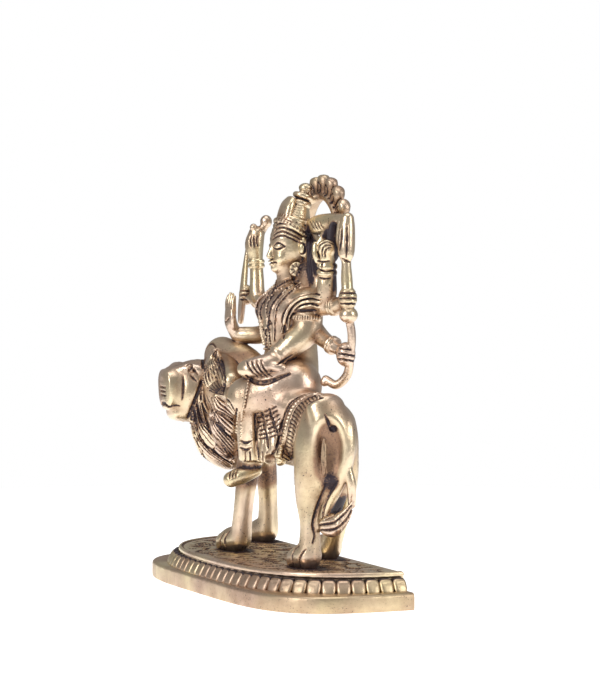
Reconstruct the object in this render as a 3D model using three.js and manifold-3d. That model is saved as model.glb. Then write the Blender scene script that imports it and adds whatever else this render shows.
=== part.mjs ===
// A small cast brass Durga seated sideways on her walking lion, on its lotus plinth.
// Millimetres, +Z up. The origin is on the ground under the middle of the plinth.
// The lion walks towards -X, and the goddess and the lion's face look towards -Y.
import * as THREE from 'three';
import { mergeVertices } from 'three/addons/utils/BufferGeometryUtils.js';
import Module from 'manifold-3d';

// Plinth: a D-shaped slab, a row of lotus petals on its shoulder, and a plate with a raised lip.
const SLAB_WIDTH = 129;
const SLAB_DEPTH = 45;
const SLAB_HEIGHT = 5.3;
const SLAB_SQUARENESS = 4;
const SLAB_EDGE_ROUNDING = 0.9;
const PETAL_ROW_HEIGHT = 3.9;
const PETAL_PITCH = 4.5;
const PETAL_THICKNESS = 0.9;
const PETAL_ROW_SET_FORWARD = 0.3;
const PLATE_SIDE_INSET = 7.3;
const PLATE_FRONT_INSET = 3.6;
const PLATE_SQUARENESS = 2.7;
const PLATE_THICKNESS = 1.9;
const LIP_WIDTH = 1.7;
const LIP_HEIGHT = 0.35;
const RECESS_STRETCH = 1.1;
const OUTLINE_POINTS = 18;

// Lion and goddess: one casting, laid out on a grid of steps, STEP_COUNT of them to its height.
// The sizes and places below the step count are in steps.
const FIGURE_HEIGHT = 120;
const STEP_COUNT = 120;
const MANE_LOCK_ROWS = 4;
const SKIRT_PLEATS = 5;
const PLEAT_DEPTH = 1.1;
const FAN_TURN = 3;
const HALO_PETALS = 7;
const FINGERS = 4;
const RIB_DEPTH = 0.22;
const TIP_SHOULDER = 0.7;
const TOES = 4;
const MANE_LOCKS_ROUND = 9;
const MANE_DEPTH = 2.4;
const MANE_SWEEP = 0.4;
const MANE = { x: -33, y: 3.4, z: 40, halfWidth: 12, halfDepth: 12.6, halfHeight: 15.6 };
const CROWN_LEAN = 0.33;
const HALO = {
  x: 3, y: 19.6, z: 99.7, halfSpan: 64, innerRadius: 13, ringRadius: 15.2, outerRadius: 20.9,
  petalThickness: 3, ringThickness: 4.2,
};

const fieldHeight = SLAB_HEIGHT + PETAL_ROW_HEIGHT + PLATE_THICKNESS - LIP_HEIGHT;
const step = FIGURE_HEIGHT / STEP_COUNT;

const brass = { color: 0xbf9f5f, roughness: 0.38, metalness: 1 };
const darkBrass = { color: 0xa98a58, roughness: 0.45, metalness: 1 };

const wasm = await Module();
wasm.setup();

const point = (x, y, z) => new THREE.Vector3(x, y, z);
const Y_AXIS = point(0, 1, 0);
const Z_AXIS = point(0, 0, 1);

// Turns a closed three.js geometry into a solid that can be joined and cut.
function toSolid(geometry) {
  const bare = geometry.clone();
  bare.deleteAttribute('normal');
  bare.deleteAttribute('uv');
  const merged = mergeVertices(bare, 1e-5);
  const corners = merged.index.array;
  const kept = [];
  for (let i = 0; i < corners.length; i += 3) {
    const [a, b, c] = [corners[i], corners[i + 1], corners[i + 2]];
    if (a !== b && b !== c && c !== a) kept.push(a, b, c);
  }
  return new wasm.Manifold(new wasm.Mesh({
    numProp: 3,
    vertProperties: new Float32Array(merged.attributes.position.array),
    triVerts: new Uint32Array(kept),
  }));
}

// Turns a joined solid back into a three.js geometry.
function toGeometry(solid) {
  const mesh = solid.getMesh();
  const geometry = new THREE.BufferGeometry();
  geometry.setAttribute('position', new THREE.BufferAttribute(mesh.vertProperties, mesh.numProp));
  geometry.setIndex(new THREE.BufferAttribute(mesh.triVerts, 1));
  return geometry;
}

const join = (solids) => solids.reduce((whole, next) => whole.add(next));

// Skins a list of rings, each with as many points, and closes both ends with a fan.
function skin(rings, firstTip, lastTip) {
  const count = rings[0].length;
  const points = [...rings.flat(), firstTip, lastTip];
  const first = points.length - 2;
  const last = points.length - 1;
  const faces = [];
  for (let i = 0; i < count; i += 1) {
    const next = (i + 1) % count;
    faces.push(first, next, i);
    for (let k = 0; k < rings.length - 1; k += 1) {
      const [low, high] = [k * count, (k + 1) * count];
      faces.push(low + i, low + next, high + next, low + i, high + next, high + i);
    }
    const top = (rings.length - 1) * count;
    faces.push(last, top + i, top + next);
  }
  const geometry = new THREE.BufferGeometry();
  const numbers = points.flatMap((p) => p.toArray());
  geometry.setAttribute('position', new THREE.Float32BufferAttribute(numbers, 3));
  geometry.setIndex(faces);
  return geometry;
}

// The plinth's outline at a share of the way from the slab's edge (0) to the plate's edge (1):
// half of a squared oval with a flat back, its points an even distance apart.
function plinthOutline(share, count) {
  const halfWidth = SLAB_WIDTH / 2 - share * PLATE_SIDE_INSET;
  const depth = SLAB_DEPTH - share * PLATE_FRONT_INSET;
  const squareness = SLAB_SQUARENESS + Math.min(share, 1) * (PLATE_SQUARENESS - SLAB_SQUARENESS);
  const fine = [];
  const fineSteps = OUTLINE_POINTS * 8;
  for (let i = 0; i <= fineSteps; i += 1) {
    const angle = (Math.PI * i) / fineSteps;
    const across = Math.sign(Math.cos(angle)) * Math.abs(Math.cos(angle)) ** (2 / squareness);
    const forward = depth * Math.sin(angle) ** (2 / squareness);
    fine.push(new THREE.Vector2(halfWidth * across, SLAB_DEPTH / 2 - forward));
  }
  const lengths = [0];
  for (let i = 1; i < fine.length; i += 1) lengths.push(lengths[i - 1] + fine[i].distanceTo(fine[i - 1]));
  const total = lengths.at(-1);
  const outline = [];
  let k = 1;
  for (let i = 0; i <= count; i += 1) {
    const wanted = (total * i) / count;
    while (k < fine.length - 1 && lengths[k] < wanted) k += 1;
    const part = (wanted - lengths[k - 1]) / (lengths[k] - lengths[k - 1]);
    outline.push(fine[k - 1].clone().lerp(fine[k], part));
  }
  return { points: outline, total };
}

// One point of the plinth's side, at a share of the outline's length.
function sidePoint(along, share, height) {
  const { points } = plinthOutline(share, OUTLINE_POINTS);
  const place = along * OUTLINE_POINTS;
  const k = Math.min(Math.floor(place), OUTLINE_POINTS - 1);
  const flat = points[k].clone().lerp(points[k + 1], place - k);
  return point(flat.x, flat.y, height);
}

// Slab, core and plate as one solid. The plate's top is cut down to the field, which runs out at
// the back, so that the lip stands round the sides and the front only.
function plinthBody() {
  const petalTop = SLAB_HEIGHT + PETAL_ROW_HEIGHT;
  const plateTop = petalTop + PLATE_THICKNESS;
  const rounding = SLAB_EDGE_ROUNDING / PLATE_SIDE_INSET;
  const lip = LIP_WIDTH / PLATE_SIDE_INSET;
  const ringOf = ([share, height], behind = 1) => {
    const { points } = plinthOutline(share, OUTLINE_POINTS);
    return points.map((p) => point(p.x, p.y > 0 ? p.y * behind : p.y, height)).reverse();
  };
  const body = skin([
    [0, 0],
    [0, SLAB_HEIGHT - SLAB_EDGE_ROUNDING],
    [rounding, SLAB_HEIGHT],
    [1 + 2 * lip, SLAB_HEIGHT],
    [1 + 2 * lip, petalTop],
    [1 - lip / 2, petalTop],
    [1 - lip / 2, plateTop - LIP_HEIGHT],
    [1, plateTop],
  ].map((pair) => ringOf(pair)), point(0, 0, 0), point(0, 0, plateTop));
  const overTop = plateTop + LIP_HEIGHT;
  const recess = skin([
    [1 + lip, fieldHeight],
    [1 + lip / 2, plateTop],
    [1 + lip / 2, overTop],
  ].map((pair) => ringOf(pair, RECESS_STRETCH)), point(0, 0, fieldHeight), point(0, 0, overTop));
  return toSolid(body).subtract(toSolid(recess));
}

// The row of lotus petals: a band with a fold between each two petals. The petals come out from
// under the plate, bend over and turn down to the slab.
function petalRow(count) {
  const sunk = PETAL_THICKNESS / PLATE_SIDE_INSET;
  const stations = [
    { share: 0.3, up: -0.1 },
    { share: 0.2, up: 0.5 },
    { share: 1.2, up: 1.05 },
  ];
  const rings = stations.map(({ share, up }) => {
    const height = SLAB_HEIGHT + up * PETAL_ROW_HEIGHT;
    const ring = [];
    ring.push(sidePoint(1, share, height));
    for (let i = count - 1; i >= 0; i -= 1) {
      ring.push(sidePoint((i + 1 / 2) / count, share, height));
      if (i > 0) ring.push(sidePoint(i / count, share + sunk, height));
    }
    ring.push(sidePoint(0, share, height));
    return ring;
  });
  const middle = (height) => point(0, 0, height);
  const row = skin(rings, middle(rings[0][0].z), middle(rings.at(-1)[0].z));
  return toSolid(row.translate(0, -PETAL_ROW_SET_FORWARD, 0));
}

function makePlinth() {
  const { total } = plinthOutline(1 / 2, OUTLINE_POINTS);
  const solid = plinthBody().add(petalRow(Math.round(total / PETAL_PITCH)));
  const mesh = new THREE.Mesh(toGeometry(solid), new THREE.MeshStandardMaterial(darkBrass));
  mesh.name = 'plinth';
  return mesh;
}

// A limb through stations of x, y, z, half width and half height. Its ends are rounded by a tip,
// a share of the end's girth, or cut flat without one. Ribs are folds across it, such as fingers.
function limb(stations, { sides = 6, stretches = 1, ribs = 0, upright = Z_AXIS, tip = 0.9 } = {}) {
  const path = new THREE.CatmullRomCurve3(stations.map(([x, y, z]) => point(x, y, z)));
  const girths = stations.map(([, , , wide, high = wide]) => point(wide, high, 0));
  const girth = new THREE.CatmullRomCurve3(girths);
  const ringAt = (t, centre, share) => {
    const along = path.getTangent(t);
    const side = along.clone().cross(upright).normalize();
    const over = along.clone().cross(side);
    const size = girth.getPoint(t).multiplyScalar(share);
    return Array.from({ length: sides }, (_, i) => {
      const angle = (2 * Math.PI * (i + 0.5)) / sides;
      return centre.clone()
        .addScaledVector(side, size.x * Math.cos(angle))
        .addScaledVector(over, size.y * Math.sin(angle));
    });
  };
  const last = ribs > 0 ? 2 * ribs : (stations.length - 1) * stretches;
  const swell = (i) => (ribs > 0 && i % 2 === 0 ? 1 - RIB_DEPTH : 1);
  const rings = Array.from({ length: last + 1 }, (_, i) => {
    const t = i / last;
    return ringAt(t, path.getPoint(t), swell(i));
  });
  const reach = (t) => tip * Math.min(girth.getPoint(t).x, girth.getPoint(t).y);
  const end = (t, way, share) => {
    const travel = way * share * reach(t);
    return path.getPoint(t).addScaledVector(path.getTangent(t), travel);
  };
  if (tip > 0) {
    rings.unshift(ringAt(0, end(0, -1, TIP_SHOULDER), TIP_SHOULDER));
    rings.push(ringAt(1, end(1, 1, TIP_SHOULDER), TIP_SHOULDER));
  }
  return toSolid(skin(rings, end(0, -1, 1), end(1, 1, 1)));
}

// A thin blade with flat ends, for pleats and bands.
const blade = (stations, options = {}) => limb(stations, { sides: 4, tip: 0, ...options });

// A rounded lump: an ellipsoid of three half sizes.
function lump([x, y, z], [a, b, c], sides) {
  const geometry = new THREE.SphereGeometry(1, sides, Math.ceil(sides * 0.6));
  return toSolid(geometry.rotateX(Math.PI / 2).scale(a, b, c).translate(x, y, z));
}

// A bangle, cuff or ring round a limb at a place, along a direction.
function cuff([x, y, z], radius, halfLength, direction, sides = 6) {
  const profile = [
    [0, -halfLength],
    [radius, -halfLength * 0.6],
    [radius, halfLength * 0.6],
    [0, halfLength],
  ];
  const geometry = new THREE.LatheGeometry(profile.map(([r, h]) => new THREE.Vector2(r, h)), sides);
  const turn = new THREE.Quaternion().setFromUnitVectors(Y_AXIS, point(...direction).normalize());
  return toSolid(geometry.applyQuaternion(turn).translate(x, y, z));
}

function lionBody() {
  const leg = (stations) => limb(stations, { sides: 6, upright: Y_AXIS, tip: 0.3 });
  return [
    limb([
      [-38, 5, 38, 7, 9],
      [-30, 6, 39.5, 10, 13],
      [-12, 7, 41, 8.8, 12],
      [20, 7, 41.2, 8.8, 12.2],
      [32, 7, 40.5, 9.2, 12.5],
      [39.5, 7, 39.4, 7, 10],
    ], { sides: 10, tip: 0.75 }),
    leg([
      [34, 2.4, 43, 7, 5],
      [35, 0.8, 33, 8, 4.6],
      [34.6, 0.6, 24, 4.8, 3.6],
      [36, 0.6, 14, 2.9, 2.8],
      [35.6, 0.4, 5, 3.4, 3.2],
    ]),
    leg([
      [32, 11.6, 44, 6.5, 4.6],
      [31.5, 13.4, 34, 7.4, 4.2],
      [27, 15.4, 24, 4.6, 3.6],
      [22.5, 16.6, 14, 2.9, 2.8],
      [15.5, 16.8, 5, 3.4, 3.2],
    ]),
    leg([
      [-15, 3.2, 38, 6.5, 4.8],
      [-13, 0.8, 27, 4.2, 3.4],
      [-13, -0.8, 15, 2.9, 2.8],
      [-14.5, -1.2, 5, 3.6, 3.2],
    ]),
    leg([
      [-30, 10, 38, 6.5, 4.8],
      [-33, 15, 27, 4.2, 3.4],
      [-35.2, 17.4, 15, 2.9, 2.8],
      [-35.6, 17.8, 5, 3.6, 3.2],
    ]),
  ];
}

// A paw flat on the plate, with a fold between each two of its toes.
function lionPaw(x, y) {
  const ring = (forward, halfWidth, height, fold) => {
    const points = [point(x - forward, y - halfWidth, 0)];
    for (let i = 0; i < 2 * TOES - 1; i += 1) {
      const across = (2 * i) / (2 * TOES - 2) - 1;
      const rise = height * Math.sqrt(1 - 0.45 * across * across) - (i % 2) * fold;
      points.push(point(x - forward, y + across * halfWidth * 0.94, rise));
    }
    points.push(point(x - forward, y + halfWidth, 0));
    return points;
  };
  const rings = [
    ring(-5, 2.6, 4, 0),
    ring(-1, 4.4, 6.6, 0),
    ring(3.4, 4.7, 5.4, 0.7),
    ring(5.6, 4.3, 3.2, 0.7),
  ];
  return toSolid(skin(rings, point(x + 5.4, y, 1.6), point(x - 6.2, y, 1.2)));
}

function lionHead() {
  const brows = [-1, 1].map((side) => blade([
    [-33.5 + side * 2.4, -15.8, 57.8, 1.3], [-33.5 + side * 7, -12.2, 57.2, 1.5],
  ]));
  return [
    limb([
      [-33, -4.5, 51, 8, 9.6],
      [-33, -9, 51.4, 9, 10.2],
      [-33.4, -13, 51.4, 7.4, 9.2],
    ], { sides: 8, tip: 0.4 }),
    limb([[-33.6, -12, 52.2, 6.8, 6.6], [-34.2, -20.6, 51.6, 5.6, 5.8]], { sides: 8, tip: 0.12 }),
    limb([[-33.6, -10, 46, 6.4, 4.6], [-34.2, -18.6, 44.4, 4.8, 2.4]], { sides: 6, tip: 0.4 }),
    lump([-34.2, -21, 56.2], [2.3, 1, 1.3], 6),
    ...brows,
  ];
}

// A spot on the mane: an egg round the neck, at an angle round it from the face and a height share.
function maneSpot(around, up, lift) {
  const angle = THREE.MathUtils.degToRad(around);
  const level = Math.sqrt(Math.max(0, 1 - up * up));
  return point(
    MANE.x + Math.sin(angle) * level * (MANE.halfWidth + lift),
    MANE.y - Math.cos(angle) * level * (MANE.halfDepth + lift),
    MANE.z + up * (MANE.halfHeight + lift),
  );
}

// The mane: pointed locks that lie over each other and sweep down and back, as raised and sunk spots.
function mane() {
  const rings = [];
  for (let row = 0; row < 2 * MANE_LOCK_ROWS; row += 1) {
    const up = -Math.cos((Math.PI * (row + 1)) / (2 * MANE_LOCK_ROWS + 1));
    rings.push(Array.from({ length: 2 * MANE_LOCKS_ROUND }, (_, i) => (
      maneSpot((180 * (i - row * MANE_SWEEP)) / MANE_LOCKS_ROUND, up, (i + row) % 2 === 0 ? MANE_DEPTH : 0)
    )));
  }
  return toSolid(skin(rings, maneSpot(0, -1, 0), maneSpot(0, 1, 0)));
}

function lionTail() {
  const strands = [[-0.8, 1], [1, -1.2]].map(([across, rise]) => blade([
    [39, 3 + across * 0.4, 12, 1.6],
    [43, 4 + across, 10.2 + rise, 2.1],
    [47, 6.4 + across, 13.4 + rise * 2, 1.6],
    [50, 8.4 + across * 0.4, 19.4 + rise, 0.4],
  ]));
  return [
    limb([
      [43, 7.4, 47, 1.4],
      [46.2, 8.2, 40, 2],
      [46.4, 8.2, 33, 2.1],
      [43.6, 7, 25.5, 2],
      [40, 4.4, 18, 1.9],
      [38.6, 2.6, 12, 1.7],
    ], { stretches: 2 }),
    ...strands,
  ];
}

// The hollow of the rump between the thigh and the tail.
const rumpHollow = () => lump([47.6, 3.2, 36], [4.6, 3.4, 9.6], 8);

// The beaded border of the saddle cloth, over the back and down both flanks.
function saddleBorder() {
  const near = [[27, 7, 53.6], [29, 1.6, 49.6], [28.4, -1.6, 44], [26.4, -1.9, 38.4], [22.8, -0.4, 32.4]];
  const far = near.map(([x, y, z]) => [x, 14 - y, z]);
  return [near, far].map((line) => {
    const stations = line.map((p) => [...p, 1.5, 1.3]);
    return blade(stations, { stretches: 2, upright: Y_AXIS });
  });
}

// The skirt: a smooth panel over the shin and a fan of pleats on the lion's flank, with the foot
// under it.
function skirt() {
  const fold = ([left, right, front, back, height]) => {
    const points = Array.from({ length: 2 * SKIRT_PLEATS + 1 }, (_, i) => {
      const share = i / (2 * SKIRT_PLEATS);
      const turnedBack = FAN_TURN * share * share;
      const x = left + share * (right - left);
      return point(x, front + turnedBack + (i % 2) * PLEAT_DEPTH, height);
    });
    return [...points, point(right, back, height), point(left, back, height)];
  };
  const rings = [[8, 20, -5.6, 2, 31], [7, 18.6, -5.4, 2, 39], [6, 17, -5, 2, 47]].map(fold);
  return [
    limb([
      [4, -7, 49, 4.6, 3],
      [4, -6.8, 40, 4.2, 2.7],
      [4, -6.2, 31.5, 4.6, 2.6],
    ], { upright: Y_AXIS, tip: 0.3 }),
    toSolid(skin(rings, point(14, 0, 30.6), point(11, 0, 47.4))),
    limb([[4.6, -4.4, 31, 2.6, 2.2], [4, -8, 26.4, 2.8, 1.9], [3, -12, 24.4, 2.3, 1.3]]),
  ];
}

function goddessBody() {
  return [
    limb([
      [2, 8, 55, 12, 9],
      [2, 8.8, 60, 10, 8.2],
      [2, 8.8, 66, 8, 7.4],
      [2, 8, 73, 9.2, 7.6],
      [2, 8, 79, 10.4, 7.8],
      [2, 9.4, 83, 8.6, 5.4],
    ], { sides: 8, upright: Y_AXIS, tip: 0.4 }),
    limb([[2, 9, 83, 4.6, 4.4], [2, 7.8, 91, 3.7, 3.8]], { upright: Y_AXIS, tip: 0 }),
    ...[-1, 1].map((side) => lump([2 + side * 4.8, 2.6, 77.4], [4.4, 4.2, 4.4], 6)),
    ...[-1, 1].map((side) => lump([2 + side * 10, 10.6, 80.6], [4.6, 5, 4.6], 6)),
    limb([[-6, 6.5, 57, 5.4, 4.8], [-18, 2.4, 59.2, 5.4, 5], [-28, -1.6, 60.8, 6.2, 6.6]], { sides: 7 }),
    limb([[-27.5, -3.4, 57, 4.6], [-14, -8, 55.4, 4.2], [-4, -9.4, 54.6, 3.6]]),
    limb([[8, 6, 56, 8, 7], [6.4, -2, 54, 7, 6.4], [4.2, -8, 51.8, 4.8, 4.8]], { sides: 7 }),
    limb([[-12, -4, 53, 8, 3.4], [-2, -5, 52, 8, 3.4], [4, -5, 51, 7, 3.4]], { tip: 0.4 }),
  ];
}

// Two garlands that fall in a V from the shoulders to the waist.
function garlands() {
  return [1, 0.62].flatMap((spread) => [-1, 1].map((side) => blade([
    [2 + side * 8.4 * spread, 7.4, 85.4, 1.3],
    [2 + side * 6 * spread, -1.2 - spread, 78, 1.8],
    [2 + side * 1.4 * spread, 1.4, 67, 1.2],
  ])));
}

function goddessHead() {
  const ears = [-1, 1].map((side) => lump([2 + side * 5.9, 10.2, 96.2], [1.1, 1.7, 3.4], 6));
  const earrings = [-1, 1].map((side) => cuff([2 + side * 6, 9.4, 91.4], 2.3, 1.3, [side, -0.35, 0], 8));
  return [
    lump([2, 8.8, 97.4], [6.2, 6.8, 8.2], 7),
    lump([2, 5.2, 95.2], [4.7, 4, 5.6], 7),
    lump([2, 3.6, 91.8], [2.4, 2, 1.9], 6),
    blade([[2, 2.6, 98.4, 0.9], [2, 1, 95, 1.2]]),
    lump([2, 14.4, 94], [5.6, 4.4, 11], 6),
    ...ears, ...earrings,
  ];
}

// The crown, turned about an axis that leans back: head bands, a cone, two rings and a knob,
// with a leaf in front.
function crown() {
  const profile = [
    [0, 0], [6.9, 0], [7.5, 0.8], [6.8, 1.7], [7.3, 2.5], [6.6, 3.4], [6.9, 4.2], [5.8, 5],
    [3.4, 11], [2.4, 12], [3.1, 13], [2.2, 14.1], [3.2, 15.1], [1.2, 16.4], [2, 17.8], [0, 19.4],
  ];
  const geometry = new THREE.LatheGeometry(profile.map(([r, h]) => new THREE.Vector2(r, h)), 8);
  geometry.rotateX(Math.PI / 2 - CROWN_LEAN).translate(2, 8.4, 99.6);
  const ringTop = HALO.z + (HALO.innerRadius + HALO.ringRadius) / 2;
  return [
    toSolid(geometry),
    limb([[2, 5.6, 105.6, 3.6, 1.4], [2, 7, 110, 3.8, 1.6], [2, 9.2, 113.4, 1.8, 1]], { upright: Y_AXIS }),
    blade([[2, 14, 112, 1.6, 1.4], [HALO.x, HALO.y, ringTop, 1.8, 1.4]]),
  ];
}

// An arch of petals behind the crown, its feet on what the two raised hands hold.
function halo() {
  const spot = (degrees, radius) => {
    const angle = THREE.MathUtils.degToRad(degrees);
    return new THREE.Vector2(radius * Math.cos(angle), radius * Math.sin(angle));
  };
  const slice = (outer, thickness) => {
    const from = 90 - HALO.halfSpan;
    const inner = Array.from({ length: HALO_PETALS + 1 }, (_, i) => (
      spot(90 + HALO.halfSpan - (2 * HALO.halfSpan * i) / HALO_PETALS, HALO.innerRadius)
    ));
    const shape = new THREE.Shape([...outer(from), ...inner]);
    const geometry = new THREE.ExtrudeGeometry(shape, { depth: thickness, bevelEnabled: false });
    return toSolid(geometry.rotateX(Math.PI / 2).translate(HALO.x, HALO.y + thickness / 2, HALO.z));
  };
  const pitch = (2 * HALO.halfSpan) / HALO_PETALS;
  const petals = (from) => Array.from({ length: HALO_PETALS }, (_, i) => [
    [0, HALO.ringRadius], [0.14, HALO.outerRadius - 1.6], [0.32, HALO.outerRadius],
    [0.68, HALO.outerRadius], [0.86, HALO.outerRadius - 1.6], [1, HALO.ringRadius],
  ].map(([share, radius]) => spot(from + (i + share) * pitch, radius))).flat();
  const ring = (from) => (
    Array.from({ length: HALO_PETALS + 1 }, (_, i) => spot(from + i * pitch, HALO.ringRadius))
  );
  return [slice(petals, HALO.petalThickness), slice(ring, HALO.ringThickness)];
}

// A closed hand round something upright, with a rib for each finger where it has ribs.
function fist([x, y, z], size, ribs = 0) {
  return limb([
    [x, y, z - size, size * 0.95, size * 0.8],
    [x, y, z, size * 1.1, size * 0.95],
    [x, y, z + size, size * 0.95, size * 0.8],
  ], { sides: ribs > 0 ? 4 : 5, ribs, upright: Y_AXIS, tip: 0 });
}

function nearArms() {
  const arm = (stations) => limb(stations, { sides: 5, tip: 0 });
  return [
    arm([[10, 11.6, 81.5, 3.2], [20.4, 13.2, 80.4, 2.6], [21.6, 12.8, 88, 2.2], [23.2, 12, 98, 1.9]]),
    cuff([22.4, 12.4, 92], 2.9, 1.8, [0.1, 0, 1]),
    fist([23.6, 12, 98.6], 3.1, FINGERS),
    arm([[13, 12.4, 79.6, 3.2], [23, 14.4, 79.8, 2.3], [27.6, 16, 81.4, 2]]),
    cuff([23.6, 14.5, 79.8], 3.2, 1.6, [1, 0.2, 0.1]),
    fist([29.6, 16.4, 82.2], 3.1, FINGERS),
    lump([29.6, 16.6, 77.6], [2.6, 2.6, 2.6], 7),
    arm([[7, 12.4, 74.4, 3.4], [17, 13.6, 69.4, 2.4], [25, 15.6, 66.4, 1.9]]),
    cuff([21.6, 14.7, 67.6], 3, 1, [1, 0.3, -0.4]),
    fist([27, 16.6, 65.4], 3.2, FINGERS),
    limb([
      [12.4, 10.6, 78.4, 4],
      [13.6, 9.8, 70.5, 3.5],
      [12, 2.4, 66.6, 2.7],
      [10.4, -0.8, 62.6, 2.2],
    ], { sides: 7, tip: 0 }),
    cuff([13, 10.2, 76], 4.6, 1.1, [0.1, 0, 1]),
    cuff([11.8, 1.4, 65.8], 3.1, 1.7, [0.1, 0.7, 0.5]),
    limb([[10.4, 0, 61.2, 2.8, 2], [8.8, -3.6, 59.4, 3.4, 2.3], [7.4, -8, 59.6, 2.4, 1.7]]),
    blade([[12.4, -1, 59.6, 1.2], [12.6, 2.6, 58.2, 1.1]]),
  ];
}

function farArms() {
  const arm = (stations) => limb(stations, { sides: 5, tip: 0 });
  return [
    arm([[-8, 11, 81.5, 3.2], [-19, 7.6, 79.8, 2.6], [-21.4, 7.4, 88, 2.1], [-22.8, 7.9, 97.4, 1.9]]),
    cuff([-22.2, 7.6, 92.4], 2.7, 1.5, [-0.1, 0, 1]),
    fist([-23, 8, 97.8], 2.9),
    limb([[-22.9, 9, 100.6, 1.6], [-22.4, 10.8, 105.4, 1.9]], { tip: 0.8 }),
    arm([[-9, 11, 79.6, 3.2], [-19, 9, 79.4, 2.3], [-26, 7, 81, 2]]),
    fist([-27.4, 6.4, 81.6], 2.8),
    arm([[-8, 10, 73, 3.4], [-16.5, 7.4, 67.4, 2.8], [-21.6, 1.2, 68.8, 2]]),
    limb([
      [-22, 0.4, 69, 2, 1.7],
      [-23, -1, 73.5, 3.2, 1.5],
      [-23.6, -0.9, 79, 3, 1.2],
      [-23.6, -0.5, 81.6, 1.9, 0.9],
    ], { upright: Y_AXIS }),
    arm([[-8, 13.4, 73, 3.4], [-14, 14.6, 68.4, 2.4], [-23, 16, 66.4, 1.9]]),
    fist([-24.6, 16.4, 65.6], 2.9),
  ];
}

function heldThings() {
  const rod = (stations) => limb(stations, { upright: Y_AXIS, tip: 0 });
  return [
    rod([
      [29.6, 16.6, 78, 1.6],
      [29.4, 16, 88, 1.7],
      [29.6, 15.7, 94, 1.3],
      [29.4, 15.8, 97, 2.9, 2.2],
      [29, 16.2, 104, 2.7, 2.2],
      [29, 16.4, 107.4, 2.2, 1.8],
    ]),
    limb([
      [26.8, 15.8, 107.2, 1.6, 1.5],
      [20, 15.2, 106.4, 2, 2.2],
      [13, 14.2, 105, 2.6, 3],
      [8, 13.2, 104.6, 1.4, 2],
    ], { tip: 0.3 }),
    limb([
      [29.4, 16.6, 77, 1.2],
      [29.4, 18, 71, 1.2],
      [28, 18, 64, 1.2],
      [27, 17.2, 58.6, 1.4],
      [24.4, 14.4, 55.6, 1.3],
      [22, 12.4, 57.6, 1.2],
    ], { sides: 5, tip: 0.5 }),
    rod([
      [-28.2, 4.6, 73, 1.2, 0.9],
      [-28.2, 5, 78, 2, 1],
      [-28.2, 6, 88, 1.6, 0.9],
      [-28.2, 7, 97.4, 0.5, 0.5],
    ]),
    rod([[-24.6, 15.8, 59, 0.9], [-24.6, 16, 70, 0.9], [-24.8, 16.2, 77, 2, 1.8], [-24.8, 16.4, 80, 0.8]]),
  ];
}

function makeFigure() {
  const solids = [
    ...lionBody(),
    lionPaw(33, 0.4), lionPaw(12.4, 16.8), lionPaw(-18.8, -1.7), lionPaw(-39, 17.4),
    mane(), ...lionHead(), ...lionTail(), ...saddleBorder(),
    ...goddessBody(), ...garlands(), ...skirt(), ...goddessHead(), ...crown(), ...halo(),
    ...nearArms(), ...farArms(), ...heldThings(),
  ];
  const ground = new THREE.BoxGeometry(2 * SLAB_WIDTH, 2 * SLAB_DEPTH, 2 * SLAB_HEIGHT);
  ground.translate(0, 0, -SLAB_HEIGHT);
  const whole = join(solids).subtract(rumpHollow()).subtract(toSolid(ground));
  const geometry = toGeometry(whole).scale(step, step, step);
  const mesh = new THREE.Mesh(geometry, new THREE.MeshStandardMaterial(brass));
  mesh.name = 'lion_and_goddess';
  mesh.position.z = fieldHeight;
  return mesh;
}

const part = new THREE.Group();
part.add(makePlinth(), makeFigure());
export default part;
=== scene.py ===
# %% [markdown]
# # A small cast brass Durga on her lion
# The real object is one brass casting, about a hand high, on a lotus plinth of the same metal.
# A wax model was carved with strokes, beads and locks, cast, buffed bright on its high parts, and
# left dark in every groove. So this lesson carves too: it fills a block with clay, adds limbs and
# lumps, cuts strokes into the clay, and only then turns the clay into a mesh.
# Another way would be to model each part as its own mesh and join them. Clay was chosen because
# every joint of a casting is soft, and a stroke can run over any number of parts.

import math

import bpy
import numpy as np
import openvdb
from mathutils import Matrix, Vector


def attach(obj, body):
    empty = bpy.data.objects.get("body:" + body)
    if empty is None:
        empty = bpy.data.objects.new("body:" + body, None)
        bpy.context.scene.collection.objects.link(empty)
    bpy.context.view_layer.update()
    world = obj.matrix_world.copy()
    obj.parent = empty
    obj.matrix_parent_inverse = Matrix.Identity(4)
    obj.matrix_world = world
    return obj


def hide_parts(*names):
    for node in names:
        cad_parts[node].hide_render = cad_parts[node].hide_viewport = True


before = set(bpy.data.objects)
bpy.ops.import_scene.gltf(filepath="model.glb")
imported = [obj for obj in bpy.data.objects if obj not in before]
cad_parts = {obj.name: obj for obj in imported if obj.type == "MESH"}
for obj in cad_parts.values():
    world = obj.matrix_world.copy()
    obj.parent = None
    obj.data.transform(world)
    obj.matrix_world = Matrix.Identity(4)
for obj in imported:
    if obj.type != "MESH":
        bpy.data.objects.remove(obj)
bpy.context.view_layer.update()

# %% [markdown]
# ## Named sizes
# All sizes are in millimetres. The figure keeps its pose in steps, 120 of them to its height, so
# that it can be made larger or smaller by one number. It stands on the field, the plinth's top.
#
# PITCH is the space between two spots of clay, FAR the greatest gap they keep, and REACH how far
# round a shape they are worked. The goddess is laid out on both sides of the plane at MIDDLE.

# %% Named sizes
MM = 0.001
FIGURE_HEIGHT = 120.0
STEP_COUNT = 120
STEP = FIGURE_HEIGHT / STEP_COUNT
FIELD_HEIGHT = 10.75
PITCH = 0.23
FAR = 3.0
REACH = 1.2
LIMB_STEPS = 5
SETTLE_TURNS = 4
LINE_SPACING = 0.7
PATINA_AND_SHADE_SPREAD = 0.05
TINY = 1e-6
MOST_TRIANGLES = 195000
SEED = 7
MIDDLE = 2.0
BOTH_SIDES = (-1, 1)
X_AXIS, Y_AXIS, Z_AXIS = np.eye(3)
print("clay pitch", PITCH, "mm, step", STEP, "mm")


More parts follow.
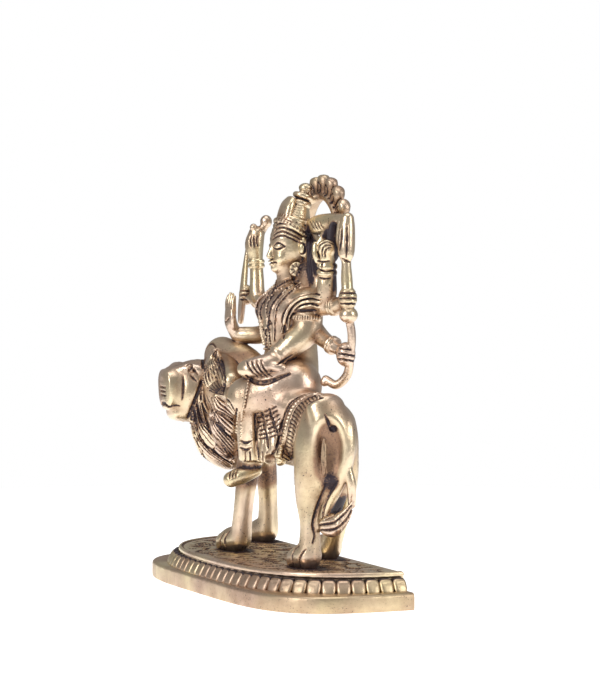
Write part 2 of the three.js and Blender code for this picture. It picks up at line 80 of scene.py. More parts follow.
# %% [markdown]
# ## The clay
# Clay is a grid of gaps: each spot holds its distance to the surface, below zero inside. Adding a
# shape takes the lesser gap of the two, and cutting takes the greater. A blend rounds the seam.
# Each shape only touches the small window of the grid around it, which keeps the work quick.

# %% Clay that shapes are added to and cut from
def smooth_least(a, b, blend):
    """The lesser of two gaps, rounded where they are within a blend of each other."""
    if blend <= 0:
        return np.minimum(a, b)
    share = np.clip(0.5 + 0.5 * (a - b) / blend, 0, 1)
    return a + (b - a) * share - blend * share * (1 - share)


class Clay:
    """A block of clay: a grid of gaps, and a grid of how dark its surface is: the patina its grooves
    keep, and painted shade.
    """

    def __init__(self, low, shape):
        self.low = np.asarray(low, np.float32)
        self.gap = np.full(shape, FAR, np.float32)
        self.stain = np.zeros(shape, np.float32)

    def window(self, low, high):
        """The part of the grid inside a box, and the places of its spots."""
        size = np.array(self.gap.shape)
        first = np.clip(np.floor((low - self.low) / PITCH).astype(int), 0, size - 1)
        last = np.clip(np.ceil((high - self.low) / PITCH).astype(int) + 1, first + 1, size)
        where = tuple(slice(a, b) for a, b in zip(first, last))
        x, y, z = (self.low[i] + PITCH * np.arange(
            first[i], last[i], dtype=np.float32,
        ) for i in range(3))
        return where, (x[:, None, None], y[None, :, None], z[None, None, :])

    def add(self, shape, blend=0.0, margin=REACH):
        """Adds a shape, with its seam rounded by a blend."""
        low, high, gap_to = shape
        where, spots = self.window(low - margin - blend, high + margin + blend)
        self.gap[where] = smooth_least(self.gap[where], gap_to(*spots), blend)

    def cut(self, shape, blend=0.0, stain=0.0):
        """Takes a shape away, and darkens the surface where it was, as patina in grooves and as painted
        shade in a few hollows.
        """
        low, high, gap_to = shape
        where, spots = self.window(low - REACH - blend, high + REACH + blend)
        new = gap_to(*spots)
        self.gap[where] = -smooth_least(-self.gap[where], new, blend)
        if stain > 0:
            self.stain[where] = np.maximum(
                self.stain[where], stain * np.clip(1 - new / PATINA_AND_SHADE_SPREAD, 0, 1),
            )

    def paint(self, shape, stain, fade):
        """Darkens the surface inside a shape, fading out over a distance: patina, tone, and in several
        places painted shade.
        """
        low, high, gap_to = shape
        where, spots = self.window(low - fade, high + fade)
        self.stain[where] = np.maximum(
            self.stain[where], stain * np.clip(-gap_to(*spots) / fade + 0.5, 0, 1),
        )

    def limb(self, stations, up=Z_AXIS, blend=0.0, square=2.0, cap=1.0):
        """Adds a limb through stations of place, half width and half height."""
        fine = through(stations, LIMB_STEPS)
        margin = REACH + blend
        reach = fine[:, 3:].max() + margin
        where, _ = self.window(fine[:, :3].min(0) - reach, fine[:, :3].max(0) + reach)
        start = self.low + PITCH * np.array([w.start for w in where])
        own = Clay(start, self.gap[where].shape)
        for a, b in zip(fine, fine[1:]):
            own.add(oval(a, b, up, square, cap), 0, margin)
        self.gap[where] = smooth_least(self.gap[where], own.gap, blend)

    def read(self, grid, places):
        """A grid's values at places, blended between the eight spots round each."""
        at = np.clip((places - self.low) / PITCH, 0, np.array(grid.shape) - 1.001)
        corner = at.astype(int)
        part = at - corner
        total = np.zeros(len(places))
        for i in (0, 1):
            for j in (0, 1):
                for k in (0, 1):
                    weight = np.prod(np.where([i, j, k], part, 1 - part), axis=1)
                    total += weight * grid[corner[:, 0] + i, corner[:, 1] + j, corner[:, 2] + k]
        return total

    def outward(self, places):
        """The direction out of the surface at each place."""
        slope = np.stack([
            self.read(self.gap, places + PITCH * axis) - self.read(self.gap, places - PITCH * axis)
            for axis in (X_AXIS, Y_AXIS, Z_AXIS)
        ], axis=1)
        return slope / np.maximum(np.linalg.norm(slope, axis=1, keepdims=True), TINY)

    def onto(self, places):
        """The places moved onto the surface, without those that find none near."""
        for _ in range(SETTLE_TURNS):
            places = places - self.outward(places) * self.read(self.gap, places)[:, None]
        return places[np.abs(self.read(self.gap, places)) < PITCH]

    def line(self, path, radius, rise, blend=0.1, taper=0.0, stain=0.0):
        """A line along a path on the surface, raised by a rise or sunk by one below zero."""
        path = self.onto(spaced(path, LINE_SPACING))
        if len(path) < 2:
            return
        share = np.linspace(0, 1, len(path))
        radii = radius * (1 - taper * np.abs(2 * share - 1) ** 2)
        sink = radii - abs(rise) * radii / radius
        centres = path + self.outward(path) * (sink if rise < 0 else -sink)[:, None]
        for k in range(len(path) - 1):
            bone = rod(centres[k], centres[k + 1], radii[k], radii[k + 1])
            if rise > 0:
                self.add(bone, blend)
            else:
                self.cut(bone, blend, stain)

    def beads(self, path, radius, spacing, rise=0.5, blend=0.1):
        """A row of beads along a path on the surface, each standing out by a share of its radius."""
        path = self.onto(spaced(path, spacing))
        for place in path + self.outward(path) * (rise - 0.5) * radius:
            self.add(ball(place, radius), blend)


# %% [markdown]
# ## Shapes
# A caster's wax is rolled, pinched and pressed into a few plain forms, and so is the clay: balls,
# eggs, rods, limbs of oval section and discs. Each form is given by the box it fills and by a
# function from any spots to their gaps to it. A mesh of each could be made instead, but a gap can
# be blended with its neighbours and cut into, and needs no joining.

# %% Shapes: each gives its box and the gap to it
def reached(spots, origin, axis):
    """How far along an axis each spot lies from an origin."""
    return sum((spot - start) * part for spot, start, part in zip(spots, origin, axis))


def rounded(out, up, rounding):
    """The gap to a flat body with a rounded rim, from the gaps to its side and to its faces."""
    corner = np.sqrt(np.maximum(out, 0) ** 2 + np.maximum(up, 0) ** 2)
    return corner + np.minimum(np.maximum(out, up), 0) - rounding


def ball(centre, radius):
    """A ball round a place."""
    centre = np.asarray(centre, float)

    def gap_to(*spots):
        return np.sqrt(sum((spot - start) ** 2 for spot, start in zip(spots, centre))) - radius

    return centre - radius, centre + radius, gap_to


def egg(centre, sizes):
    """An ellipsoid of three half sizes."""
    centre, sizes = np.asarray(centre, float), np.asarray(sizes, float)

    def gap_to(*spots):
        parts = [(spot - start) / size for spot, start, size in zip(spots, centre, sizes)]
        level = np.sqrt(sum(part ** 2 for part in parts)) + TINY
        slope = np.sqrt(sum((part / size) ** 2 for part, size in zip(parts, sizes))) + TINY
        return level * (level - 1) / slope

    return centre - sizes, centre + sizes, gap_to


def rod(a, b, radius_a, radius_b):
    """A rod with round ends between two places."""
    run = b - a
    square = max(float(run @ run), TINY)
    wide = max(radius_a, radius_b)

    def gap_to(*spots):
        share = np.clip(reached(spots, a, run) / square, 0, 1)
        away = sum((spot - start - share * part) ** 2 for spot, start, part in zip(spots, a, run))
        return np.sqrt(away) - (radius_a + (radius_b - radius_a) * share)

    return np.minimum(a, b) - wide, np.maximum(a, b) + wide, gap_to


NEARLY_ALONG = 0.01


def oval(a, b, up, square=2.0, cap=1.0):
    """A stretch of limb between two stations, with an oval section and oval ends."""
    start, end = a[:3], b[:3]
    run = end - start
    length = max(float(np.linalg.norm(run)), TINY)
    along = run / length
    side = np.cross(along, up)
    if np.linalg.norm(side) < NEARLY_ALONG:
        side = np.cross(along, X_AXIS + Y_AXIS)
    side /= np.linalg.norm(side)
    over = np.cross(along, side)
    wide_a, high_a, wide_b, high_b = a[3], a[4], b[3], b[4]
    reach = max(wide_a, high_a, wide_b, high_b)

    def gap_to(*spots):
        travel = reached(spots, start, along)
        share = np.clip(travel / length, 0, 1)
        wide = wide_a + (wide_b - wide_a) * share
        high = high_a + (high_b - high_a) * share
        least = cap * np.minimum(wide, high)
        u = np.abs(reached(spots, start, side)) / wide
        v = np.abs(reached(spots, start, over)) / high
        s = np.abs(travel - share * length) / least
        level = (u ** square + v ** square + s ** square) ** (1 / square) + TINY
        slope = level ** (1 - square) * np.sqrt(
            (u ** (square - 1) / wide) ** 2 + (v ** (square - 1) / high) ** 2
            + (s ** (square - 1) / least) ** 2
        ) + TINY
        return (level - 1) / slope

    return np.minimum(start, end) - reach, np.maximum(start, end) + reach, gap_to


def disc(centre, axis, radius, half_thickness, rounding):
    """A round plate or ring body with a rounded rim."""
    centre, axis = np.asarray(centre, float), np.asarray(axis, float)
    axis = axis / np.linalg.norm(axis)
    reach = radius + half_thickness

    def gap_to(*spots):
        travel = reached(spots, centre, axis)
        square = sum((spot - start) ** 2 for spot, start in zip(spots, centre))
        away = np.sqrt(np.maximum(square - travel ** 2, 0))
        return rounded(
            away - (radius - rounding), np.abs(travel) - (half_thickness - rounding), rounding,
        )

    return centre - reach, centre + reach, gap_to


print("shapes to carve with: ball, egg, rod, oval and disc")

# %% [markdown]
# ## Runs
# An arm, a tail or a drawn line is given by a few stations only. A smooth curve is run through
# them, as a wax thread takes a smooth bend between the fingers, and then cut into even lengths.

# %% Smooth runs of stations and evenly spaced paths
def through(stations, steps):
    """A smooth run through stations, with steps between each two. A lone size counts for both."""
    rows = np.array([tuple(s) + (s[3],) if len(s) == 4 else tuple(s) for s in stations], float)
    rows = np.vstack([2 * rows[0] - rows[1], rows, 2 * rows[-1] - rows[-2]])
    t = np.linspace(0, 1, steps, endpoint=False)[:, None]
    spans = []
    for k in range(1, len(rows) - 2):
        p0, p1, p2, p3 = rows[k - 1:k + 3]
        spans.append(0.5 * (
            2 * p1 + (p2 - p0) * t + (2 * p0 - 5 * p1 + 4 * p2 - p3) * t ** 2
            + (3 * p1 - p0 - 3 * p2 + p3) * t ** 3
        ))
    return np.vstack(spans + [rows[-2:-1]])


def spaced(path, spacing):
    """The same path with its places an even distance apart."""
    path = np.asarray(path, float)
    if len(path) < 2:
        return path
    lengths = np.r_[0, np.cumsum(np.linalg.norm(np.diff(path, axis=0), axis=1))]
    count = max(2, int(round(lengths[-1] / spacing)) + 1)
    wanted = np.linspace(0, lengths[-1], count)
    return np.stack([np.interp(wanted, lengths, path[:, i]) for i in range(path.shape[1])], axis=1)


def mirrored(path, middle):
    """The path on the other side of a plane across X."""
    return np.asarray(path) * (-1, 1, 1) + (2 * middle, 0, 0)


print("a run of 2 stations has", len(through([(0, 0, 0, 1), (0, 0, 1, 1)], LIMB_STEPS)), "places")

# %% [markdown]
# ## Drawing on the clay
# Much of the carving is easiest to lay out as a flat drawing held in front of the figure, at the
# angle from which it is mostly looked at. Each drawn point is carried along the line of sight
# until it meets the clay, so a drawn line lies on whatever is there. The points could be given in
# three numbers each, but then every change to a form would leave its carving in the air.
#
# The sheet passes through the middle of the figure. A point on it is given in millimetres across
# to the right and up from the sheet's middle.

# %% Drawing on the clay
CLAY_CORNER = (-50, -26, -1.5)
CLAY_SIZE = np.array([104, 51, 126])
clay = Clay(CLAY_CORNER, np.ceil(CLAY_SIZE / PITCH).astype(int))
EYE = np.array([997.3, -428.8, 139.3 - FIELD_HEIGHT])
SIGHT_TURN = math.radians(66.1)
SIGHT_DIP = math.radians(3.3)
SIGHT = np.array([-math.sin(SIGHT_TURN), math.cos(SIGHT_TURN), -math.tan(SIGHT_DIP)])
SIGHT /= np.linalg.norm(SIGHT)
SHEET_ACROSS = np.array([math.cos(SIGHT_TURN), math.sin(SIGHT_TURN), 0])
SHEET_UP = np.cross(SHEET_ACROSS, SIGHT)
SHEET_DISTANCE = 1092.0
NEAREST, FARTHEST = 1010.0, 1160.0
DRAWN_STEPS = 8
MOST_TURNS = 260
TOUCHING = 0.01
CAREFUL = 0.9
LEAST_TRAVEL, LONGEST_TRAVEL = 0.02, 0.9
JUMP = 2.6
SHORTEST_RUN = 4
DAB_SPACING, DAB_FADE = 1.0, 0.8


def smooth_drawing(drawing, steps, spacing):
    """A smooth curve through drawn points, as points an even distance apart."""
    return spaced(through([(x, y, 0, 0) for x, y in drawing], steps)[:, :2], spacing)


def met_by(flat):
    """The places where drawn points, carried along the line of sight, meet the clay."""
    sight = SIGHT * SHEET_DISTANCE + flat[:, :1] * SHEET_ACROSS + flat[:, 1:] * SHEET_UP
    sight /= np.linalg.norm(sight, axis=1, keepdims=True)
    travel = np.full(len(flat), NEAREST)
    for _ in range(MOST_TURNS):
        gap = clay.read(clay.gap, EYE + sight * travel[:, None])
        travel += np.where(gap > TOUCHING, np.clip(gap * CAREFUL, LEAST_TRAVEL, LONGEST_TRAVEL), 0)
    met = travel < FARTHEST
    if not met.all():
        print("of", len(met), "drawn places,", met.sum(), "meet the clay, near", np.round(flat[0], 1))
    return (EYE + sight * travel[:, None])[met]


def carried(drawing, spacing=LINE_SPACING):
    """The places where a smooth line through drawn points meets the clay."""
    return met_by(smooth_drawing(drawing, DRAWN_STEPS, spacing))


def drawn(drawing, radius, rise, *blend, **ends):
    """A drawn line, raised or sunk where it meets the clay."""
    clay.line(carried(drawing), radius, rise, *blend, **ends)


def both(path, middle, radius, rise, *blend, **ends):
    """A line along a path on the clay, and again on the other side of the plane at a middle."""
    for side in (path, mirrored(path, middle)):
        clay.line(side, radius, rise, *blend, **ends)


def painted_dark_along(drawing, radius, stain):
    """Paints the clay dark along a drawn line, as wide as the radius says."""
    for place in carried(drawing, DAB_SPACING):
        clay.paint(ball(place, radius), stain, DAB_FADE)


def runs(path):
    """The stretches of a path between its jumps from one surface to another behind it."""
    steps = np.linalg.norm(np.diff(path, axis=0), axis=1)
    stretches = np.split(path, np.nonzero(steps > JUMP)[0] + 1)
    return [run for run in stretches if len(run) >= SHORTEST_RUN]


print("the sheet leans back by", round(math.degrees(SIGHT_DIP), 1), "degrees")

# %% [markdown]
# ## The lion
# The lion walks to the goddess's right with its head turned to look where she looks. Its trunk is
# a plain barrel, and the carving is saved for the mane, the tail tuft and the saddle cloth.

# %% The lion's trunk, legs and paws
TRUNK = [
    (-38, 5, 38, 7, 9), (-30, 6, 39.5, 10, 13), (-12, 7, 41, 8.8, 12), (20, 7, 41.2, 8.8, 12.2),
    (32, 7, 40.5, 9.2, 12.5), (39, 7, 39.6, 7.6, 10.4),
]
LEGS = {
    "near hind": [
        (36, 4, 48, 6, 5), (36.9, 1.6, 40, 7.3, 5), (35.7, 0.8, 31, 6.7, 4.6),
        (34.6, 0.6, 22, 4.8, 3.8), (36, 0.6, 13, 3.1, 3.1), (35.4, 0.5, 4, 3.6, 3.6),
    ],
    "far hind": [
        (32, 11.6, 44, 6.5, 4.6), (31.5, 13.4, 34, 7.4, 4.6), (27.6, 15.4, 24, 5.4, 4.2),
        (22.5, 16.6, 14, 3.2, 3.1), (15.5, 16.8, 4, 3.5, 3.4),
    ],
    "near fore": [
        (-15, 3.2, 38, 6.5, 4.8), (-13, 0.8, 27, 4.5, 3.7), (-13, -0.8, 15, 3.1, 3.1),
        (-14.5, -1.2, 4, 3.6, 3.4),
    ],
    "far fore": [
        (-30, 10, 38, 6.5, 4.8), (-33, 15, 27, 4.4, 3.7), (-35.2, 17.2, 15, 3.1, 3.1),
        (-35.6, 17.4, 4, 3.6, 3.4),
    ],
}
PAWS = {
    "near hind": (33, 0.4), "far hind": (12.4, 16.8), "near fore": (-18.8, -1.7),
    "far fore": (-39, 17),
}
TOES = 4
TOE_PITCH = 2.2


def paw(x, y):
    """A paw flat on the ground, pointing to -X, with grooves between its toes."""
    clay.limb([
        (x + 3, y, 3.4, 3.4, 4.2), (x, y, 3.3, 4.5, 4.3), (x - 3.4, y, 2.6, 4.7, 3.6),
    ], blend=1.6, cap=0.7)
    for toe in range(TOES):
        across = (toe - (TOES - 1) / 2) * TOE_PITCH
        clay.add(egg((x - 4.9 + 0.25 * abs(across), y + across, 2), (1.8, 1.25, 2.3)), 0.6)
    for groove in range(TOES - 1):
        across = (groove - TOES / 2 + 1) * TOE_PITCH
        arc = [(x - 6.8, y + across, 1), (x - 5.8, y + across, 3.8), (x - 3.4, y + across * 0.9, 5.8)]
        clay.line(arc, 0.42, -0.5, taper=0.4, stain=1)


clay.limb(TRUNK, blend=1)
for stations in LEGS.values():
    clay.limb(stations, up=Y_AXIS, blend=3)
for place in PAWS.values():
    paw(*place)
TOE_ARCS = (
    ((-22.2, -58), (-23.6, -59.6), (-23.9, -61.6), (-23.3, -63.5)),
    ((-24, -58.6), (-25.1, -60.2), (-25.4, -61.9), (-24.8, -63.5)),
    ((-0.3, -62.7), (-2, -64.4), (-2.6, -66.7), (-2.1, -68.9)),
    ((1.9, -63.8), (0.3, -65.7), (-0.2, -67.6), (0.1, -69.5)),
)
for drawing in TOE_ARCS:
    drawn(drawing, 0.34, -0.42, taper=0.5, stain=1)
print("the lion stands on", len(PAWS), "paws")

# %% [markdown]
# The rump is a smooth ridge over each thigh, with an oval hollow between the near thigh and the
# tail. The tail is a broad band that lies on the leg and ends in a grooved tuft like a flame.

# %% The rump and the tail
RUMP = [
    (41, 3.4, 50, 4, 6), (43.4, 4.4, 43, 4.4, 6), (43, 5.4, 33, 4.4, 6), (38.6, 6.4, 24, 3.6, 6),
    (36.4, 7, 18, 2, 4),
]
clay.limb(RUMP, up=Y_AXIS, blend=2.5)
clay.cut(egg((48.2, 1.4, 36.4), (5.2, 5.6, 11)), 1.6)
clay.paint(egg((44, 2.4, 35.8), (6, 4.6, 9.6)), 0.42, 1.6)
clay.paint(egg((44, 3.6, 27.4), (3, 2.6, 3)), 0.7, 1.4)
clay.paint(egg((41, 9, 17.5), (4.4, 5, 5.4)), 0.75, 1.6)
TAIL = [
    (40, 9.2, 49, 1.6), (44.6, 9.4, 44.4, 2), (46, 8.8, 36, 2), (44.4, 7.2, 28, 1.9),
    (41.4, 4.6, 20.5, 1.8), (38.8, 2.6, 13, 1.5),
]
clay.limb(TAIL, blend=0.8)
clay.limb([(46, 8.8, 31, 1.4), (46.8, 9.6, 26, 1.5), (45.4, 10.4, 20, 1.2)], blend=0.6)
clay.limb([(39, 6, 26, 3, 4), (38.6, 6.4, 20, 2.4, 4), (38.6, 5.6, 14, 1.6, 3)], up=Y_AXIS, blend=1)
TUFT_STRANDS = 5


def tuft():
    """Strands that leave the tail's end and curl up together to a tip, like a flame."""
    for strand in range(TUFT_STRANDS):
        share = strand / (TUFT_STRANDS - 1)
        drop = 1.4 - 3.4 * share
        clay.limb([
            (38.6, 3, 15 - 1.5 * share, 1.1), (41.4, 3.2, 13.4 - drop * 0.7, 1.6),
            (45.4, 4.8, 13.6 - drop, 1.6), (48.8, 7.2, 17.4 - drop * 0.6, 1.1), (50, 8.6, 21.4, 0.4),
        ], blend=0.1)


clay.add(egg((43.8, 5, 14.2), (5.2, 2, 3.4)), 0.6)
tuft()
TUFT_LINES = (
    ((6, -56.2), (10.5, -55.4), (14, -52.7), (16.5, -49.8)),
    ((6.3, -57.8), (11.1, -57.5), (14.6, -54.6), (17, -50.5)),
    ((7.9, -54.5), (11.1, -52.9), (13, -50.5)),
)
for drawing in TUFT_LINES:
    drawn(drawing, 0.34, -0.5, taper=0.4, stain=1)
LEG_CREASES = (
    ((8.3, -43.2), (5.7, -49.8), (4.1, -55.6), (4.6, -59.4), (4, -61.9)),
    ((7.9, -21.1), (8.9, -23.5), (9.8, -26)),
    ((12.1, -42.2), (8.3, -48.3), (7, -54)),
)
for drawing in LEG_CREASES:
    drawn(drawing, 0.5, -0.55, taper=0.5, stain=1)
clay.add(egg((44.5, 1.4, 35), (1, 1, 6)), 0.8)
drawn(((8.3, -29.2), (7.3, -34), (8.3, -38.7)), 0.3, -0.2, stain=0.4)
clay.cut(egg((45.6, 4, 43.4), (1.6, 1.2, 1.2)), 0.3, stain=1)
print("the tail ends in", TUFT_STRANDS, "strands")

# %% [markdown]
# The lion's head is a block with a square muzzle, and its face looks out past the walk. The real
# one was carved with a few deep strokes, alike on both sides, and left smooth between them.

# %% The lion's head
HEAD_X = -33.5
WHISKER_ROWS = 3


def lion_head():
    """A blunt head: a square muzzle with a flat front, a heavy brow and a short mouth."""
    skull = [(-33, -1, 49, 9, 9.6), (-33.2, -8, 50.4, 9.6, 10.4), (-33.4, -12.4, 50.6, 8.4, 9.4)]
    clay.limb(skull, blend=1, cap=0.7)
    muzzle = [(-33.5, -9, 51.4, 8, 8), (-34, -15, 51.4, 6.7, 7.2), (-34.3, -19, 51.2, 6.2, 6.6)]
    clay.limb(muzzle, blend=1.2, square=2.8, cap=0.22)
    jaw = [(-33.6, -8, 46, 7, 5), (-34, -13.4, 44.2, 5.8, 3.6), (-34.2, -17, 43.6, 4.6, 2.3)]
    clay.limb(jaw, blend=1, cap=0.5)
    for side in BOTH_SIDES:
        clay.limb([
            (HEAD_X + side * 2, -17, 57.4, 1), (HEAD_X + side * 5.4, -13.4, 58.2, 1.6),
            (HEAD_X + side * 7.6, -8, 57, 1.8),
        ], blend=1.4)
        clay.cut(egg((HEAD_X + side * 7.4, -13.4, 57.8), (1.3, 1.3, 1.1)), 0.5, stain=0.3)
        clay.add(ball((HEAD_X + side * 6.8, -13, 57.8), 0.9), 0.1)
    clay.add(egg((HEAD_X - 0.7, -19.8, 55.6), (2.4, 0.9, 1.4)), 0.5)


lion_head()
FACE_LINES = (
    ((-37.1, -8.9), (-37.1, -12.7), (-37.5, -16.5)), ((-34.3, -6.3), (-33.5, -7.3), (-32.5, -8.4)),
    ((-34.7, -8.7), (-33.8, -9.7), (-32.7, -10.7)),
    ((-36.2, -6), (-35.2, -4.9), (-34.2, -5.7), (-34.9, -7.1)),
)
for drawing in FACE_LINES:
    both(carried(drawing), HEAD_X, 0.38, -0.42, taper=0.5, stain=1)
for row in range(WHISKER_ROWS):
    drop = 1.27 * row
    both(carried(((-43.9, -12.4 - drop), (-42.7, -12.5 - drop))), HEAD_X, 0.25, -0.25, stain=0.7)
MOUTH = ((-5.2, -17, 46), (-3.6, -18.8, 46.5), (0, -19.8, 46.8), (3.6, -18.8, 46.5), (5.2, -17, 46))
clay.line([(HEAD_X + x, y, z) for x, y, z in MOUTH], 0.6, -0.8, taper=0.5, stain=1)
print("the face has", len(FACE_LINES), "strokes on each side")

# %% [markdown]
# The mane is one lump of clay for now. Its locks lie over the edge of her skirt, so they are
# carved last, when everything they lie on is there.

# %% The mane's lump
MANE_CENTRE = np.array([-33, 3.4, 40])
MANE_SIZES = np.array([12, 12.6, 15.6])
clay.add(egg(MANE_CENTRE, MANE_SIZES), 1.5)
print("the mane's lump is", 2 * MANE_SIZES, "mm")

# %% [markdown]
# ## The goddess
# She sits sideways on the lion with her near leg hanging and her far leg folded. Cloth, garlands
# and jewels are raised or sunk lines and beads on the smooth forms of the body. So the body is
# built first, plain and full, and dressed when nothing more will move.

# %% The goddess's legs and body
clay.limb([
    (2, 8, 55, 12, 9.4), (2.4, 8.8, 61, 10.4, 8.6), (3, 8.8, 67, 9, 8), (2.8, 8, 73, 9.6, 8.2),
    (2.2, 8.4, 79, 10.4, 8), (2, 9.6, 83.6, 8.4, 5.2),
], up=Y_AXIS, blend=1.6, cap=0.5)
clay.limb([(2, 9, 82, 4.8, 4.6), (2, 8.4, 87, 3.7, 3.8), (2, 8, 92, 3.7, 3.8)], up=Y_AXIS, blend=1.6)
for side in BOTH_SIDES:
    clay.add(egg((MIDDLE + side * 4.2, 3.6, 77.8), (4.6, 4.2, 4.4)), 1.6)
    clay.add(egg((MIDDLE + side * 10, 10.8, 80.6), (5, 5.2, 4.8)), 2)
FAR_THIGH = [
    (-4, 6.5, 56, 5.4, 5), (-12, 4, 57, 5.3, 5.1), (-20, 1.4, 60.2, 5.8, 6),
    (-28.4, -1.8, 62, 5.8, 6.2),
]
FAR_SHIN = [
    (-28, -2.4, 59.4, 4.6, 4.6), (-20, -4.4, 59, 4.2, 4.2), (-12, -6.6, 57.6, 3.8, 3.8),
    (-4, -9, 55.4, 3.2, 3.2),
]
NEAR_THIGH = [(12, 6, 54.6, 9, 8.6), (9, 0, 53, 8.8, 7.8), (4.4, -7, 50.4, 6.6, 6.8)]
for stations, blend in ((NEAR_THIGH, 2), (FAR_THIGH, 1), (FAR_SHIN, 0.4)):
    clay.limb(stations, blend=blend)
clay.limb([
    (-12, -4, 52.6, 7.6, 3.4), (-4, -5, 51.8, 7.6, 3.6), (4, -5, 50.6, 7, 3.6),
], blend=0.8, cap=0.5)
clay.limb([
    (4.6, -6.4, 48, 5, 3.6), (4, -6.8, 40, 4.6, 3), (4, -6.2, 31.5, 4.8, 2.8),
], up=Y_AXIS, blend=1, cap=0.4)
clay.limb([(4.6, -5, 31, 3.2), (4.6, -6, 28, 2.6)], blend=0.4)
clay.limb([(4.8, -4.2, 27.6, 2.6, 1.9), (4.2, -8.4, 26.4, 3.4, 2.7), (3.4, -12, 25, 3, 2.5)], blend=0.3)
# Painted shade in the gap between the hem and the foot.
clay.paint(egg((5.4, -6.4, 28.9), (5, 5, 0.8)), 0.8, 0.8)
TOE_LINES = 3
for toe in range(TOE_LINES):
    x, y = -22 + 1.02 * toe, -39.2 + 0.22 * toe
    drawn(((x, y), (x - 0.4, y - 1.1), (x - 0.2, y - 2.4)), 0.26, -0.36, taper=0.5, stain=0.9)
clay.limb([(10, 2, 50, 8, 6.4), (17, 3.4, 49, 6.6, 5.6), (24, 5.4, 48, 5, 4)], blend=2)
clay.paint(egg((-12, -1, 59.6), (9.6, 9.6, 6)), 0.34, 2.5)
clay.paint(egg((-5, -4, 57), (5, 6, 4)), 0.4, 1.5)
PLEATS = 5


def pleated_fan():
    """The skirt's folds over the lion's flank: rolls side by side, wider towards the hem."""
    clay.limb([
        (10, 0.4, 46, 5, 4), (13.4, 0.6, 39, 6.6, 4), (14.6, 0.8, 33.6, 7, 3.6),
    ], up=Y_AXIS, blend=1, cap=0.5)
    for pleat in range(PLEATS):
        share = (pleat + 0.5) / PLEATS
        top = 7.4 + share * 12
        hem = 8 + share * 13.4
        front = -3.4 + 2.2 * share * share
        clay.limb([
            (top, front + 0.4, 46.4, 1.2, 1.4), ((top + hem) / 2, front - 0.5, 39, 1.6, 1.7),
            (hem, front - 0.9, 31.6, 1.9, 1.8),
        ], up=Y_AXIS, blend=0.2, cap=0.7)


pleated_fan()
print("the skirt has", PLEATS, "pleats in its fan")

# %% [markdown]
# Her face is a calm, plain one on the proportions that such images share: long closed eyes at
# half the head's height, a straight nose, and thirds from the chin to the hairline.

# %% The goddess's face
CHIN, HAIRLINE, HEAD_TOP = 90.0, 103.0, 105.6
EYE_LINE = (CHIN + HEAD_TOP) / 2
BROW_LINE = CHIN + (HAIRLINE - CHIN) * 2 / 3
NOSE_BASE = CHIN + (HAIRLINE - CHIN) / 3
MOUTH_LINE = NOSE_BASE - (NOSE_BASE - CHIN) / 3
HEAD_HALF_WIDTH = 6.2
EYE_WIDTH = HEAD_HALF_WIDTH * 2 / 5
EYE_LENGTH = EYE_WIDTH * 1.4
LID_PLACES = 9
LID_DEPTH, LID_BACK, LID_REACH = 4.4, 7.0, 5.3
SKULL_SIZES = (HEAD_HALF_WIDTH, 6.4, (HEAD_TOP - CHIN) / 2)
clay.add(egg((MIDDLE, 10, (CHIN + HEAD_TOP) / 2), SKULL_SIZES), 0.6)
clay.limb([
    (MIDDLE, 7, 100.4, 5.2, 4.5), (MIDDLE, 6.6, 96.2, 4.9, 4.2), (MIDDLE, 5.6, 92.4, 3, 2.9),
], up=Y_AXIS, blend=1)
clay.add(egg((MIDDLE, 3.9, CHIN + 1.3), (1.8, 1.5, 1.4)), 0.8)
NOSE = [
    (MIDDLE, 2.9, BROW_LINE + 0.6, 0.5), (MIDDLE, 2.2, EYE_LINE - 1, 0.7),
    (MIDDLE, 1.7, NOSE_BASE + 0.8, 0.95),
]
clay.limb(NOSE, up=Y_AXIS, blend=0.7)


def eyelid(side, lift, start=0.0, end=1.0):
    """Places along a lid of one eye, from the inner corner to the outer one."""
    share = np.linspace(start, end, LID_PLACES)
    x = EYE_WIDTH / 2 + share * EYE_LENGTH
    y = LID_BACK - LID_DEPTH * np.sqrt(1 - (x / LID_REACH) ** 2)
    z = EYE_LINE + 0.4 * share + lift * np.sin(np.pi * share)
    return clay.onto(np.column_stack([MIDDLE + side * x, y, z]))


for side in BOTH_SIDES:
    clay.add(egg((MIDDLE + side * 2.3, 4.6, NOSE_BASE + 0.2), (2, 1.7, 2.1)), 0.9)
    clay.add(egg((MIDDLE + side * 0.75, 2, NOSE_BASE + 0.4), (0.6, 0.6, 0.45)), 0.2)
    clay.line(eyelid(side, 0.3, 0.25, 0.75), 0.95, 0.3, 0.3)
    clay.line(eyelid(side, 1.3), 0.3, -0.42, taper=0.3, stain=1)
    clay.line(eyelid(side, -0.7), 0.3, -0.42, taper=0.3, stain=1)
clay.add(egg((MIDDLE, 2.5, MOUTH_LINE + 0.5), (1.8, 1, 0.42)), 0.2)
clay.add(egg((MIDDLE, 2.7, MOUTH_LINE - 0.45), (1.4, 1, 0.5)), 0.2)
LIPS = ((-2.2, 3.2, 0.2), (0, 1.7, 0), (2.2, 3.2, 0.2))
clay.line([(MIDDLE + x, y, MOUTH_LINE + z) for x, y, z in LIPS], 0.26, -0.34, stain=1)
print("her eyes are at", EYE_LINE, "and her mouth at", round(MOUTH_LINE, 1))
